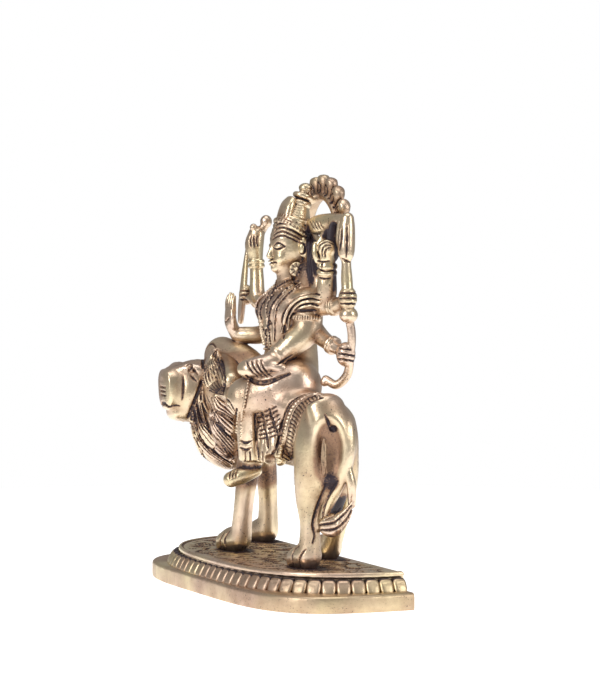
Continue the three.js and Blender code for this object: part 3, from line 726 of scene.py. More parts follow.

# %% [markdown]
# Her hair is combed back under the crown in curved ridges, with two strands down to the shoulder.
# The hollows beside the neck are painted dark, as the shade between the head and the raised arm. It
# could be made as strands; strokes are what the real one has.

# %% The hair and the ears
clay.add(egg((MIDDLE, 14.4, 96), (5.8, 4.6, 9.6)), 1)
for side in BOTH_SIDES:
    clay.add(egg((MIDDLE + side * 6.6, 10.5, 97.9), (1.3, 1.6, 3.2)), 0.2)
BROW_RIDGES = 5
RIDGE_INNER_END = (-8.7, 34.5)
RIDGE = (
    (-7.3, 35.4, 1.33), (-5.4, 35.7, 1.3), (-2.9, 34.8, 1.33), (-0.8, 33.8, 1.3), (0.8, 33.2, 1.14),
)
clay.limb([(MIDDLE, 8.2, 103.6, 5.8, 4.8), (MIDDLE, 7.6, 101, 5.7, 4.6)], up=Y_AXIS, blend=1)
for ridge in range(BROW_RIDGES):
    drawing = [(RIDGE_INNER_END[0] + 0.29 * ridge, RIDGE_INNER_END[1] + 1.27 * ridge)]
    drawing += [(x, y + climb * ridge) for x, y, climb in RIDGE]
    both(carried(drawing), MIDDLE, 0.34, -0.46, taper=0.4, stain=1)
clay.limb([(8, 14, 97, 3.2), (12, 14, 90, 3.4), (16, 13.4, 84, 3)], blend=0.6)
clay.add(egg((8.4, 12.4, 88), (5.4, 4.2, 6.4)), 0.6)
# Painted shade in the recess between the head and the raised arm.
clay.paint(egg((8.4, 12.4, 89), (5.4, 4.2, 5.6)), 0.9, 1.4)
clay.paint(egg((10, 14, 95), (4, 2.5, 9)), 0.9, 1.4)
clay.paint(egg((12, 12.8, 89), (4, 3, 6)), 0.9, 1.4)
ear_hollow = carried(((0.1, 33.1), (1.1, 33.3), (1.7, 31.9), (1.5, 30.3), (0.5, 29.6), (-0.2, 30.3)))
both(ear_hollow, MIDDLE, 0.38, -0.6, taper=0.5, stain=1)
STRANDS = (
    ((2.2, 36.8), (3, 33), (2.5, 28.6), (2.9, 23.5)),
    ((3.8, 35.6), (4.4, 31.1), (3.9, 27.3), (4.3, 22.9)),
)
for strand in STRANDS:
    drawn(strand, 0.5, 0.4, 0.2)
HAIR_GROOVES = 9
HAIR_PITCH = 1.25
for groove in range(HAIR_GROOVES):
    x = (groove - (HAIR_GROOVES - 1) / 2) * HAIR_PITCH
    nape = [(x, 18, 104), (x + 0.4, 19.4, 99), (x, 19, 93), (x * 0.7, 17.4, 87.6)]
    clay.line(np.array(nape) + (MIDDLE, 0, 0), 0.36, -0.45, taper=0.4, stain=1)
print("the head has", BROW_RIDGES, "ridges over each eye and", HAIR_GROOVES, "grooves behind")

# %% [markdown]
# Each earring is a round stud like a flower, turned a little to the front. One disc with cut
# spokes and a ball in its middle reads as a flower at this size, without eight petals of its own.

# %% The earrings
PETALS_IN_EARRING = 8
for side in BOTH_SIDES:
    hub = np.array([MIDDLE + side * 6.4, 8.2, 91])
    out = np.array([side * 0.92, -0.38, 0.1])
    out /= np.linalg.norm(out)
    across = np.cross(out, Z_AXIS)
    across /= np.linalg.norm(across)
    rise = np.cross(across, out)
    clay.add(disc(hub, out, 2.3, 0.9, 0.6), 0.2)
    for petal in range(PETALS_IN_EARRING):
        turn = 2 * math.pi * petal / PETALS_IN_EARRING
        spoke = across * math.cos(turn) + rise * math.sin(turn)
        start, end = hub + spoke * 0.8 + out * 1.05, hub + spoke * 2.6 + out * 0.8
        clay.cut(rod(start, end, 0.26, 0.3), 0, stain=1)
    clay.add(ball(hub + out * 0.8, 0.6), 0)
print("each earring has", PETALS_IN_EARRING, "petals")

# %% [markdown]
# The crown is a stack of rings on a cone that leans back, with a tall leaf standing in front and a
# ticked band round its foot. Discs on one leaning line give the stack; a turned profile would
# too, but the band leans more than the cone.

# %% The crown
CROWN_LEAN_ANGLE, BAND_LEAN_ANGLE = 0.33, 0.6
LEAN = np.array([0, math.sin(CROWN_LEAN_ANGLE), math.cos(CROWN_LEAN_ANGLE)])
BAND_LEAN = np.array([0, math.sin(BAND_LEAN_ANGLE), math.cos(BAND_LEAN_ANGLE)])
CROWN_FOOT = np.array([MIDDLE, 8.4, 99.6])
BAND_MIDDLE = CROWN_FOOT + LEAN * 4.4
CONE_LEVELS = 8
TICKS = 34


def crown_ring(height, radius, half_thickness, rounding):
    """A ring of the crown, at a height along its lean."""
    clay.add(disc(CROWN_FOOT + LEAN * height, LEAN, radius, half_thickness, rounding), 0.1)


for offset, radius in ((-0.75, 6.7), (0.75, 6.4)):
    clay.add(disc(BAND_MIDDLE + BAND_LEAN * offset, BAND_LEAN, radius, 0.8, 0.75), 0.1)
for level in range(CONE_LEVELS):
    share = level / (CONE_LEVELS - 1)
    crown_ring(5.4 + 6 * share, 5.6 - 2.4 * share, 0.75, 0.5)
for height, radius in ((6.6, 6), (12.6, 3.5), (15, 3.3)):
    crown_ring(height, radius, 0.9, 0.85)
crown_ring(13.8, 2.2, 1, 0.4)
crown_ring(16.2, 1.6, 1, 0.4)
clay.add(egg(CROWN_FOOT + LEAN * 17.9, (2.2, 2.2, 1.5)), 0.3)
CROWN_LEAF = [
    (MIDDLE, 6.4, 103.4, 3.4, 1.4), (MIDDLE, 6.7, 107, 3.9, 1.6), (MIDDLE, 7.9, 110.8, 3.6, 1.6),
    (MIDDLE, 9.2, 112.6, 2.7, 1.4),
]
clay.limb(CROWN_LEAF, up=Y_AXIS, blend=0.2, square=2.6, cap=0.8)
for tick in range(TICKS):
    turn = 2 * math.pi * tick / TICKS
    side = np.array([math.cos(turn), 0, 0]) + math.sin(turn) * np.cross(BAND_LEAN, X_AXIS)
    low, high = (BAND_MIDDLE + BAND_LEAN * h + side * 7 for h in (-1.1, 1.2))
    clay.cut(rod(low - side * 0.2, high - side * 0.5, 0.24, 0.24), 0, stain=0.9)
clay.limb([(2, 14, 112, 1.6, 1.4), (3, 19.6, 113.8, 1.8, 1.4)], blend=0.4)
clay.limb([(4, 14, 104, 2.6, 2.4), (7, 14.4, 104.6, 2.2, 2.2)], blend=0.4)
print("the crown's band has", TICKS, "ticks")

# %% [markdown]
# Behind the crown stands an arch of petals, each a thick tab with a pointed leaf cut into it. It
# is laid out by angle round one centre, so the petals stay alike and evenly spaced.

# %% The arch of petals behind the crown
HALO = np.array([3, 20, 99.9])
HALO_SPAN = 64
HALO_PETALS = 7
HALO_RADIUS = 14.1
RING_PLACES = 25
PETAL_TAB = ((14.6, 2.5, 1.5), (16.6, 2.75, 1.7), (18.6, 2.8, 2), (19.9, 2.2, 1.8))
PETAL_EDGE = ((14.8, 0.6), (16, 3.4), (17.2, 3.6), (18.6, 0))
PETAL_GAP = (14.9, 16.4, 18, 19.4)


def halo_spot(degrees, radius, forward=0.0):
    """A place on the arch at an angle, a radius and a distance forward."""
    angle = math.radians(degrees)
    return HALO + (radius * math.cos(angle), -forward, radius * math.sin(angle))


angles = np.linspace(90 - HALO_SPAN, 90 + HALO_SPAN, RING_PLACES)
ring = [(*halo_spot(angle, HALO_RADIUS), 1.15, 2.2) for angle in angles]
clay.limb(ring, up=Y_AXIS, blend=0, square=3)
pitch = 2 * HALO_SPAN / HALO_PETALS
for petal in range(HALO_PETALS):
    middle = 90 - HALO_SPAN + (petal + 0.5) * pitch
    tab = [(*halo_spot(middle, radius), wide, deep) for radius, wide, deep in PETAL_TAB]
    clay.limb(tab, up=Y_AXIS, blend=0, cap=0.5)
for petal in range(HALO_PETALS):
    middle = 90 - HALO_SPAN + (petal + 0.5) * pitch
    for front in BOTH_SIDES:
        for bend in BOTH_SIDES:
            edge = [halo_spot(middle + bend * turn, radius, 1.7 * front) for radius, turn in PETAL_EDGE]
            clay.line(edge, 0.3, -0.5, taper=0.2, stain=1)
        if petal < HALO_PETALS - 1:
            gap = [halo_spot(middle + pitch / 2, radius, 1.5 * front) for radius in PETAL_GAP]
            clay.line(gap, 0.4, -0.6, taper=0.3, stain=1)
clay.paint(egg((3, 20, 106), (19, 4, 16)), 0.3, 1.5)
print("the arch has", HALO_PETALS, "petals")


# %% [markdown]
# ## The arms
# A hand that holds something is a lump with grooves between its fingers: at five millimetres the
# real hands are no more than that. The bangles are thin rings close together.

# %% Hands and bangles
FINGERS = 4
ARC_PLACES = 9


def fist(centre, size, seen=1, lean=0.0):
    """A closed hand: a lump with grooves between the fingers, on the side that is seen."""
    centre = np.asarray(centre, float)
    clay.add(egg(centre, (size * 0.98, size * 1.02, size * 1.3)), 0.4)
    for groove in range(FINGERS - 1):
        height = (groove - FINGERS / 2 + 1) * size * 0.62
        path = []
        for turn in np.linspace(-1.3, 1.5, ARC_PLACES):
            forward = -math.sin(turn) * size
            path.append(centre + (seen * math.cos(turn) * size, forward, height + lean * forward))
        clay.line(path, 0.34, -0.5, taper=0.3, stain=1)


def bangle(centre, direction, radius, half_width, rings=3):
    """A cuff of thin rings round a limb."""
    direction = np.asarray(direction, float)
    direction /= np.linalg.norm(direction)
    thin = half_width / rings
    for ring in range(rings):
        offset = (2 * ring - rings + 1) * thin
        bulge = 0.25 if 2 * ring == rings - 1 else 0
        middle = np.asarray(centre) + direction * offset
        clay.add(disc(middle, direction, radius + bulge, thin, thin * 0.85), 0)


print("a fist has", FINGERS, "fingers")

# %% [markdown]
# Four arms leave each shoulder. On the near side the lowest hand lies on the folded leg, and the
# uppermost is joined to the rod beside it by a thin web, painted dark. The far side of that arm
# carries a band of painted shade.

# %% The near arms
clay.limb([
    (9, 11.6, 82, 4), (19.4, 12.8, 82.4, 3.4), (21.6, 12.8, 88, 3), (23, 12, 96, 2.4),
], blend=0.8)
bangle((22.2, 12.5, 91.4), (0.1, 0, 1), 3.2, 2, 2)
clay.add(egg((22.6, 14.6, 100.4), (2, 2.5, 6.8)), 0.6)
# The web behind the raised hand is painted dark.
clay.paint(egg((22.4, 15.6, 100.4), (2.8, 2.8, 7.4)), 0.9, 1)
# Painted shade down the shaded side of the raised arm.
clay.paint(egg((22.2, 15.9, 88.6), (2.4, 1.7, 6)), 0.8, 1.2)
clay.limb([(21.6, 10, 99.4, 1), (21.8, 11.6, 101.8, 1.2), (22, 12.6, 103.4, 0.9)], blend=0.2)
clay.add(egg((23.4, 11.8, 97.9), (2.9, 2.9, 2.9)), 0.2)
clay.limb([(21.4, 8.8, 99.2, 0.8), (21.7, 8.7, 96.6, 1), (22, 9.4, 94, 0.9)], blend=0.1)
HAND_ARCS = (
    ((10.5, 33), (8.6, 33.8), (6.3, 32.8), (5.6, 30.6), (6.2, 28.4)),
    ((9.8, 32.6), (8.1, 32.6), (6.9, 31.1), (7, 29.1)),
    ((10, 31.9), (8.8, 31.7), (7.9, 30.5), (8, 28.9)), ((5.6, 27.7), (7.3, 27.3), (9.5, 27.6)),
    ((6.9, 27), (6.8, 25.3)), ((5.2, 25.8), (6.3, 25), (7.9, 24.3), (10.5, 24.6)),
    ((6, 22.4), (7.6, 21.9), (9.8, 22.2)),
)
for arc in HAND_ARCS:
    drawn(arc, 0.3, -0.46, taper=0.4, stain=1)
clay.limb([(13, 12.4, 79.6, 3.4), (23, 14.4, 79.8, 2.5), (27.6, 16, 81.4, 2.2)], blend=0.8)
bangle((23.2, 14.5, 79.8), (1, 0.2, 0.1), 3, 1.2, 2)
fist((29.6, 16.2, 82.6), 2.9)
clay.add(egg((29.8, 16.4, 77.4), (2.9, 2.9, 2.6)), 0.3)
clay.limb([(7, 12.4, 74.4, 3.6), (17, 13.6, 69.4, 2.6), (25, 15.6, 66.4, 2)], blend=0.8)
bangle((21.6, 14.7, 67.6), (1, 0.3, -0.4), 3, 1.1, 2)
fist((27.4, 16.6, 65), 3, lean=-0.15)
clay.limb([
    (11.6, 10.6, 79, 5), (13, 9.4, 72, 4.6), (12.8, 4.6, 67.6, 4), (11, -0.4, 63.4, 2.9),
], blend=0.5)
bangle((11.9, 1.2, 65), (0.15, 0.75, 0.55), 3.3, 1.8, 2)
clay.limb([
    (11.4, 0.6, 62.8, 3.3, 3), (9.6, -3.4, 60.8, 4.4, 3.7), (8, -7.2, 60, 4.2, 3.3),
    (7.2, -9, 60, 2.8, 2.4),
], blend=0.2)
# A crevice under the resting hand, painted black as the hand's shadow.
SHADOW_UNDER_HAND = ((-17.1, -8.9), (-14.3, -10.7), (-10.5, -10.8), (-6.7, -9.4), (-3.2, -8.1))
drawn(SHADOW_UNDER_HAND, 0.9, -0.9, taper=0.5, stain=1)
clay.limb([(12.8, -3.2, 61.4, 1.4), (14.6, 0, 60.4, 1.8), (14.6, 3, 59, 1.5)], blend=0.05)
for groove in range(FINGERS):
    x = -17 + 1.52 * groove
    finger = ((x, -4.3 + 0.25 * groove), (x + 0.7, -6), (x + 1.9, -7.7), (x + 3.6, -9.1))
    drawn(finger, 0.32, -0.46, taper=0.5, stain=1)
drawn(((-7.3, -5.2), (-5.1, -4), (-2.5, -2.3)), 0.4, -0.6, taper=0.4, stain=1)
print("the near arms have", len(HAND_ARCS), "strokes on the raised hand")

# %% [markdown]
# The far arms mirror the near ones only roughly: one hand is open with its fingers up, and the
# rear one is hidden behind the body, so it is given a plain fist.

# %% The far arms
clay.limb([
    (-7, 11, 81.5, 3.4), (-19, 7.6, 79.8, 2.7), (-21.4, 7.4, 88, 2.2), (-22.8, 7.9, 97, 1.9),
], blend=0.8)
bangle((-22.2, 7.6, 91.8), (-0.1, 0, 1), 2.7, 1.4, 2)
clay.limb([
    (-22.6, 7.4, 94.4, 2.6, 2.4), (-23, 7.2, 98, 3.2, 3), (-23, 8, 101.4, 2.8, 2.6),
], up=Y_AXIS, blend=0.3)
for groove in range(FINGERS - 1):
    x = -15.6 + 1.08 * groove
    drawn(((x, 35.6), (x - 0.2, 34), (x + 0.1, 32.1)), 0.32, -0.42, taper=0.4, stain=1)
clay.add(egg((-22.8, 9.4, 102.6), (1.7, 1.6, 1.5)), 0.1)
clay.limb([(-22.6, 9, 101, 1.2), (-22.2, 10.6, 104.4, 1.4)], blend=0.2)
clay.add(egg((-22.2, 11, 105.4), (2, 1.9, 2.1)), 0.1)
clay.add(ball((-22.2, 6.6, 103.6), 1.2), 0.1)
clay.limb([(-8, 11, 79.6, 3.3), (-19, 9, 79.4, 2.4), (-26, 7, 81, 2)], blend=0.8)
bangle((-22, 8.2, 80), (1, -0.2, -0.2), 2.7, 1, 2)
fist((-27.4, 6.4, 81.6), 2.5, seen=1)
clay.limb([(-8, 10, 74, 3.6), (-16.5, 7.4, 69.4, 3), (-21.4, 1.8, 69, 2.6)], blend=0.8)
clay.limb([
    (-22, 0.4, 69, 2.2, 1.8), (-23, -1, 73, 3.1, 1.7), (-23.5, -1, 76.6, 3.1, 1.4),
], up=Y_AXIS, blend=0.4)
for finger in range(FINGERS):
    across = (finger - (FINGERS - 1) / 2) * 1.55
    top = 82.4 - 0.7 * abs(finger - 1.4)
    clay.limb([
        (-23.3 + across, -0.9, 76, 0.9), (-23.5 + across * 1.02, -0.9, 79.4, 0.85),
        (-23.6 + across * 0.95, -0.5, top, 0.6),
    ], blend=0.03)
clay.limb([(-20.6, -0.8, 71.6, 1), (-19.8, -1.6, 74.6, 0.9), (-20.3, -1.8, 77, 0.6)], blend=0.2)
clay.line([(-25.4, -2.4, 74), (-23.4, -2.7, 73), (-21.4, -2.6, 74.4)], 0.25, -0.3, stain=1)
clay.limb([(-8, 13.4, 73, 3.4), (-14, 14.6, 68.4, 2.5), (-23, 16, 66.4, 1.9)], blend=0.8)
fist((-24.6, 16.4, 65.6), 2.8, seen=-1)
clay.paint(egg((-14, 6, 68.4), (8, 5, 4.4)), 0.25, 1.5)
print("the far arms have", FINGERS, "fingers up on the open hand")

# %% [markdown]
# The near hands hold a rod with a long head and a curl, and something like a shell. The far hands
# hold slender stems. The web behind the raised hand is painted dark, and painted shade runs down
# the raised arm's far edge and between the ear and that arm.

# %% What the hands hold
ROD_AND_HEAD = [
    (29.6, 16.6, 78, 1.7), (29.4, 16, 88, 1.8), (29.6, 15.7, 94, 1.5), (29.4, 15.8, 97.4, 2.6),
    (29, 16.2, 104, 2.5), (29, 16.4, 107.2, 2),
]
clay.limb(ROD_AND_HEAD, up=Y_AXIS, blend=0.2)
clay.limb([(27.4, 15, 97.6, 1), (26.6, 14.6, 101, 1.1), (26.6, 15, 106, 0.9)], up=Y_AXIS, blend=0.1)
ROD_LINES = (
    ((13.2, 38.1), (13, 34.3), (12.5, 31.1)), ((15, 39.4), (14.9, 33), (14.7, 28.9)),
    ((13.3, 28.4), (14.6, 27.6), (15.9, 27.3)),
)
for drawing in ROD_LINES:
    drawn(drawing, 0.4, -0.5, taper=0.4, stain=1)
clay.limb([
    (26.8, 15.8, 107.2, 1.5), (20, 15.2, 106.4, 2.1, 2.4), (13, 14.2, 105, 2.8, 3.2),
    (8, 13.2, 104.6, 1.6, 2.2),
], blend=0.3)
SHELL_GROOVES = 4
for groove in range(SHELL_GROOVES):
    x = 3.2 + 0.95 * groove
    drawing = ((x, 40.3), (x + 0.6 + 0.06 * groove, 38.7), (x + 1.6, 37.6))
    drawn(drawing, 0.26, -0.32, taper=0.5, stain=1)
ROD_CURL = [
    (29.4, 16.6, 77, 1.3), (29.6, 17.6, 71, 1.3), (28.4, 17.6, 64, 1.3), (27, 17.2, 58.6, 1.4),
    (24.4, 14.8, 55.4, 1.4), (21.6, 12.4, 57, 1.3),
]
clay.limb(ROD_CURL, blend=0.2)
clay.add(ball((21.4, 12.2, 56.2), 1.5), 0.2)
clay.limb([
    (-28.2, 4.6, 73, 1.2, 0.9), (-28.2, 5, 78, 2, 1), (-28.2, 6, 88, 1.6, 0.9),
    (-28.2, 7, 97.4, 0.5, 0.5),
], up=Y_AXIS, blend=0.2)
clay.limb([
    (-24.6, 15.8, 59, 0.9), (-24.6, 16, 70, 0.9), (-24.8, 16.2, 77, 2, 1.8), (-24.8, 16.4, 80, 0.8),
], up=Y_AXIS, blend=0.2)
DARK_WEB_AND_SHADE = (
    (((10.7, 39), (9.7, 37.1), (9.3, 34.6)), 1.3, 0.9),
    (((8.6, 37.1), (7.7, 35.6)), 1.0, 0.8),
    (((11, 34.3), (11.3, 31.1), (11.2, 27.3), (11, 22.9), (10.9, 18.4)), 0.9, 0.85),
    (((2.7, 37.8), (3.2, 31.1), (3, 25.4), (3.8, 21.3)), 1.3, 0.9),
)
# The web's strokes paint it dark; the others are painted shade.
for drawing, radius, stain in DARK_WEB_AND_SHADE:
    painted_dark_along(drawing, radius, stain)
print("the corners by the hands have", len(DARK_WEB_AND_SHADE), "dark strokes")

# %% [markdown]
# ## Cloth and jewels
# The sari is folded into three ridges that sweep from the waist over the near shoulder, over a
# frilled sleeve. Garlands of beads fall in a V to the waist. Thin cloth could be simulated, but
# this cloth is a line of wax laid on a body, and is made as one.

# %% The sari's folds, the sleeve and the garlands
SARI = (
    (((-5.4, 5.1), (-4.9, 9.5), (-3.2, 13.3), (-0.3, 15.6), (3.5, 16.5), (6.3, 15.9)), 0.75, 0.55),
    (((-4, 5.7), (-3.5, 9.2), (-1.9, 12.4), (0.6, 14.3), (4.1, 14.9), (6.3, 14.5)), 0.6, 0.5),
    (((-1.6, 11.1), (0.3, 12.8), (3.5, 13.5), (6, 12.9)), 0.5, 0.45),
)
for drawing, radius, rise in SARI:
    path = carried(drawing)
    clay.line(path, radius, rise, 0.05)
    clay.line(path + (0, 0, radius + 0.2), 0.36, -0.45, taper=0.3, stain=1)
CLOTH_EDGES = (
    ((-5.3, 3.2), (-4.8, 7)),
    ((-2.9, 9.5), (-1.3, 11.6), (1.6, 11.9), (5.1, 11.9)),
)
for drawing in CLOTH_EDGES:
    drawn(drawing, 0.5, -0.6, taper=0.3, stain=1)
drawn(((-1.8, 9.7), (1, 9.7), (3.8, 9.6), (6, 9.3)), 0.95, 0.7, 0.1)
FRILLS = 10
for x in np.linspace(-1.6, 5.9, FRILLS):
    drawn(((x, 10.3), (x - 0.2, 9)), 0.2, -0.24, stain=0.8)
GARLANDS = (
    ((-1, 21.3), (-4.8, 18.4), (-8.9, 13.7), (-10, 8.3), (-9.5, 1)),
    ((-2.9, 22.2), (-6.7, 19.7), (-10.8, 15.9), (-12.8, 11.4), (-11.6, 5.1), (-10.2, -0.3)),
    ((0, 20.4), (-3.5, 17.5), (-7, 13.3), (-7.9, 8.9), (-8.1, 2.5)),
)
BEADED_GARLANDS = 2
for index, drawing in enumerate(GARLANDS):
    path = carried(drawing)
    for side in (path, mirrored(path, MIDDLE)):
        clay.line(side, 0.62, 0.5, 0.05)
        clay.line(clay.onto(side) + (0.9, 0, 0), 0.3, -0.36, taper=0.2, stain=1)
        if index < BEADED_GARLANDS:
            clay.beads(side, 0.42, 0.9, 0.8, 0)
COLLARS = 2
for turn in range(COLLARS):
    angle = np.linspace(-2.4, 2.4, 24)
    collar = np.column_stack([
        MIDDLE + (4.9 + 1.2 * turn) * np.sin(angle), 8.6 - (4.6 + 1.2 * turn) * np.cos(angle),
        84.4 - 1.4 * turn - np.cos(angle),
    ])
    clay.beads(collar, 0.5, 1.0, 0.7, 0)
print("over the chest are", len(SARI), "folds,", len(GARLANDS), "garlands and", COLLARS, "collars")

# %% [markdown]
# The skirt hangs in pleats over the near leg, with a beaded seam at the front, rows of short
# strokes between two folds and a hem with ticks. A hollow opens under the hem, painted dark as shade.

# %% The skirt's seams and folds
SEAM_OFFSET = 0.2
for side in BOTH_SIDES:
    x = side * SEAM_OFFSET
    drawn(((x - 16.2, -10.5), (x - 16.6, -14), (x - 17.5, -18.7)), 0.24, -0.2, stain=0.6)
clay.beads(carried(((-16.3, -10.5), (-16.8, -14), (-17.8, -18.7))), 0.5, 1.15, 0.9, 0)
SKIRT_FOLDS = (
    ((-20.1, -19.4), (-20.6, -24.4), (-21.1, -30.8), (-21.3, -35.2)),
    ((-14.2, -21), (-14, -26), (-13.7, -30.8), (-13.1, -35.2)),
    ((-12.1, -20.6), (-11.1, -26), (-10, -31.7)), ((-9.7, -19.4), (-8.6, -23.5), (-6.7, -28.3)),
)
for drawing in SKIRT_FOLDS:
    drawn(drawing, 0.5, -0.62, taper=0.3, stain=1)
STITCH_ROWS = 7
for row in range(STITCH_ROWS):
    y = -21 - 1.3 * row
    drawn(((-13.5 + 0.1 * row, y), (-12.2 + 0.22 * row, y + 0.4)), 0.28, -0.36, stain=1)
    drawn(((-11.2 + 0.25 * row, y + 0.5), (-9.8 + 0.38 * row, y + 1.3)), 0.28, -0.36, stain=1)
    if row < STITCH_ROWS - 1:
        drawn(((-9.2 + 0.38 * row, y + 1.4), (-7.7 + 0.44 * row, y + 2.5)), 0.26, -0.34, stain=1)
clay.beads(carried(((-18.2, -20), (-18.6, -26), (-18.9, -32.1))), 0.45, 1.2, 0.8, 0)
clay.beads(carried(((-19.5, -20.3), (-20, -26), (-20.4, -34.3))), 0.45, 1.2, 0.8, 0)
clay.beads(carried(((-15.4, -21), (-15.2, -25.4), (-15.1, -29.5))), 0.24, 0.9, 0.5, 0)
for y in (-29.7, -31.9):
    drawn(((-18.9, y + 0.3), (-17.3, y - 0.5), (-15.4, y + 0.3)), 0.45, -0.55, taper=0.6, stain=1)
for x in (-17.5, -15.9, -12.1, -10.5, -8.9):
    drawn(((x, -33), (x + 0.2, -35.9)), 0.28, -0.32, stain=0.9)
# Painted shade in a hollow under the hem.
hem_shade_spot = carried(((-9.8, -35.9), (-9.2, -35.9)))[0]
clay.cut(egg(hem_shade_spot, (3.4, 3.4, 2.1)), 0.5, stain=0.55)
drawn(((-6.8, -28.3), (-7.5, -31.1), (-8.7, -34)), 0.6, -0.7, taper=0.3, stain=1)
clay.paint(egg((-12.4, -0.4, 24.4), (6, 5, 4.6)), 0.6, 3)
clay.paint(egg((-33.4, 15.4, 22.6), (6, 5, 4.6)), 0.5, 3)
print("the skirt has", len(SKIRT_FOLDS), "folds and", STITCH_ROWS, "rows of stitches")

# %% [markdown]
# ## The mane and the saddle cloth
# The mane's locks are long leaves that start at the edge of the face and sweep down and back over
# the chest, the skirt's edge and her knee. Each lock is drawn by its two edges. The edges are cut
# deep, and the grooves along it are drawn between them, so they gather in its point as hair does.
# Hair curves could be grown instead, but a cast mane is one skin with strokes in it.

# %% The mane's locks
clay.limb([
    (-20.8, -7.6, 64.4, 0.7), (-20.8, -7.6, 60.8, 2.8), (-20.8, -7.4, 55.6, 4.2), (-21.4, -6.6, 50, 4),
], up=Y_AXIS, blend=0.4, cap=0.8)
clay.add(egg((-18.6, -3.6, 41.6), (6, 5.4, 12.4)), 1.2)
clay.limb([
    (-20.6, -7.2, 60, 2.4), (-19.6, -6, 54, 4.4), (-18.9, -4.6, 47, 5.2), (-18.6, -3.8, 41, 5.4),
], blend=1.5)
LOCKS = (
    (
        ((-26.3, -0.3), (-28.9, -3.8), (-30.2, -5.4)),
        ((-26.3, -0.3), (-25.2, -2.9), (-24.3, -5.7), (-23.9, -8.3)), 2,
    ),
    (
        ((-30.2, -5.7), (-30.9, -9.8), (-29.1, -13.3), (-24.4, -15)),
        ((-27, -2.2), (-24.8, -5.7), (-23.8, -9.8), (-24.3, -14.4)), 6,
    ),
    (
        ((-31.6, -12.7), (-31.4, -16.8), (-29.8, -20.6), (-27.6, -21.8)),
        ((-29.8, -15.2), (-28.4, -18.4), (-27.7, -20.6)), 1,
    ),
    (
        ((-28.1, -15.9), (-27.2, -19.4), (-24.6, -20.8), (-21.3, -22.7)),
        ((-26, -15.2), (-22.9, -16.5), (-20.8, -20)), 3,
    ),
    (
        ((-27.6, -20.6), (-26.5, -24.1), (-24.1, -26.7), (-21.3, -28.9)),
        ((-26.7, -20), (-23.5, -22.2), (-21.3, -24.1)), 2,
    ),
    (
        ((-28.9, -22.4), (-27.9, -26.7), (-25.1, -30.2), (-21, -34.9)),
        ((-27.9, -21.9), (-24.8, -25.4), (-21, -29.5)), 3,
    ),
    (
        ((-32.7, -16.5), (-31.7, -22.9), (-28.4, -27.3)),
        ((-31.1, -17.5), (-29.8, -22.2), (-28.1, -26.7)), 1,
    ),
    (
        ((-33.8, -18.7), (-33, -25.4), (-29.2, -31.1), (-21.6, -36.2)),
        ((-32.7, -17.8), (-30.5, -24.4), (-27.3, -27.9), (-21, -35.9)), 2,
    ),
    (
        ((-34.7, -21), (-34, -27.3), (-30.5, -33), (-23.5, -38.1)),
        ((-33.8, -19.4), (-32.1, -27), (-27.9, -32.4), (-21.6, -36.8)), 2,
    ),
)


LOCK_PLACES = 24
EDGE_STEPS, EDGE_SPACING = 6, 0.5
LEAST_APART, FARTHEST_OFF = 0.2, 1.5


def paired(left, right, count):
    """The same number of places along each of two drawn edges."""
    share = np.linspace(0, 1, count)
    rows = []
    for edge in (left, right):
        fine = smooth_drawing(edge, EDGE_STEPS, EDGE_SPACING)
        along = np.linspace(0, 1, len(fine))
        rows.append(np.stack([np.interp(share, along, fine[:, i]) for i in (0, 1)], axis=1))
    return rows


def raised(side, wide, thick):
    """A low body along places on the surface, as wide as the space between its drawn edges."""
    apart = np.r_[True, np.linalg.norm(np.diff(side, axis=0), axis=1) > LEAST_APART]
    kept = apart & (np.abs(clay.read(clay.gap, side)) < FARTHEST_OFF)
    side, wide = side[kept], wide[kept]
    out = clay.outward(side)
    body = np.column_stack([side + out * 0.1, wide + 0.3, thick + 0.1 * wide])
    for a, b, up in zip(body, body[1:], out):
        if np.linalg.norm(b[:3] - a[:3]) < JUMP:
            clay.add(oval(a, b, up), 0.2)


def lock(left, right, grooves):
    """A pointed lock: a raised leaf between two drawn edges, with grooves between them."""
    left, right = paired(left, right, LOCK_PLACES)
    middle = met_by((left + right) / 2)
    half = np.linalg.norm(right - left, axis=1) / 2
    if len(middle) == len(half):
        raised(middle, half, 0.5)
        raised(mirrored(middle, MANE_CENTRE[0]), half, 0.5)
    for index in range(grooves + 2):
        edge = index in (0, grooves + 1)
        radius, rise, taper = (0.36, -0.6, 0.3) if edge else (0.28, -0.42, 0.6)
        for run in runs(carried(left + (right - left) * index / (grooves + 1))):
            both(run, MANE_CENTRE[0], radius, rise, taper=taper, stain=1)


for left, right, grooves in LOCKS:
    lock(left, right, grooves)
FACE_EDGE = (
    (-31.1, -2.9), (-30.7, -5.7), (-30.9, -9.2), (-31.8, -12.4), (-33.3, -16.3), (-34.9, -20.3),
    (-35.6, -22.2),
)
both(carried(FACE_EDGE), MANE_CENTRE[0], 0.6, -0.8, taper=0.3, stain=1)
EAR_EDGE = ((-30.2, -4.1), (-30.5, -1.6), (-29.3, 0.6), (-27.9, 1.5), (-26.8, 0.3))
drawn(EAR_EDGE, 0.4, -0.5, taper=0.4, stain=1)
BACK_GROOVES = 15
GROOVE_PLACES = 9
BACK_START, BACK_SPAN = 118, 124
for groove in range(BACK_GROOVES):
    around = math.radians(BACK_START + BACK_SPAN * groove / (BACK_GROOVES - 1))
    path = []
    for up in np.linspace(0.75, -0.9, GROOVE_PLACES):
        level = math.sqrt(1 - up * up)
        turn = around + 0.16 * math.sin(5 * up)
        path.append(MANE_CENTRE + MANE_SIZES * (math.sin(turn) * level, -math.cos(turn) * level, up))
    clay.line(path, 0.36, -0.42, taper=0.5, stain=1)
print("the mane has", len(LOCKS), "locks a side")

# %% [markdown]
# The saddle cloth's near border runs from the seat down to its corner: a rim with a row of beads
# and a ladder of rungs. It is drawn between two edges, as a lock is, so the rungs stay square to
# the band where it bends.

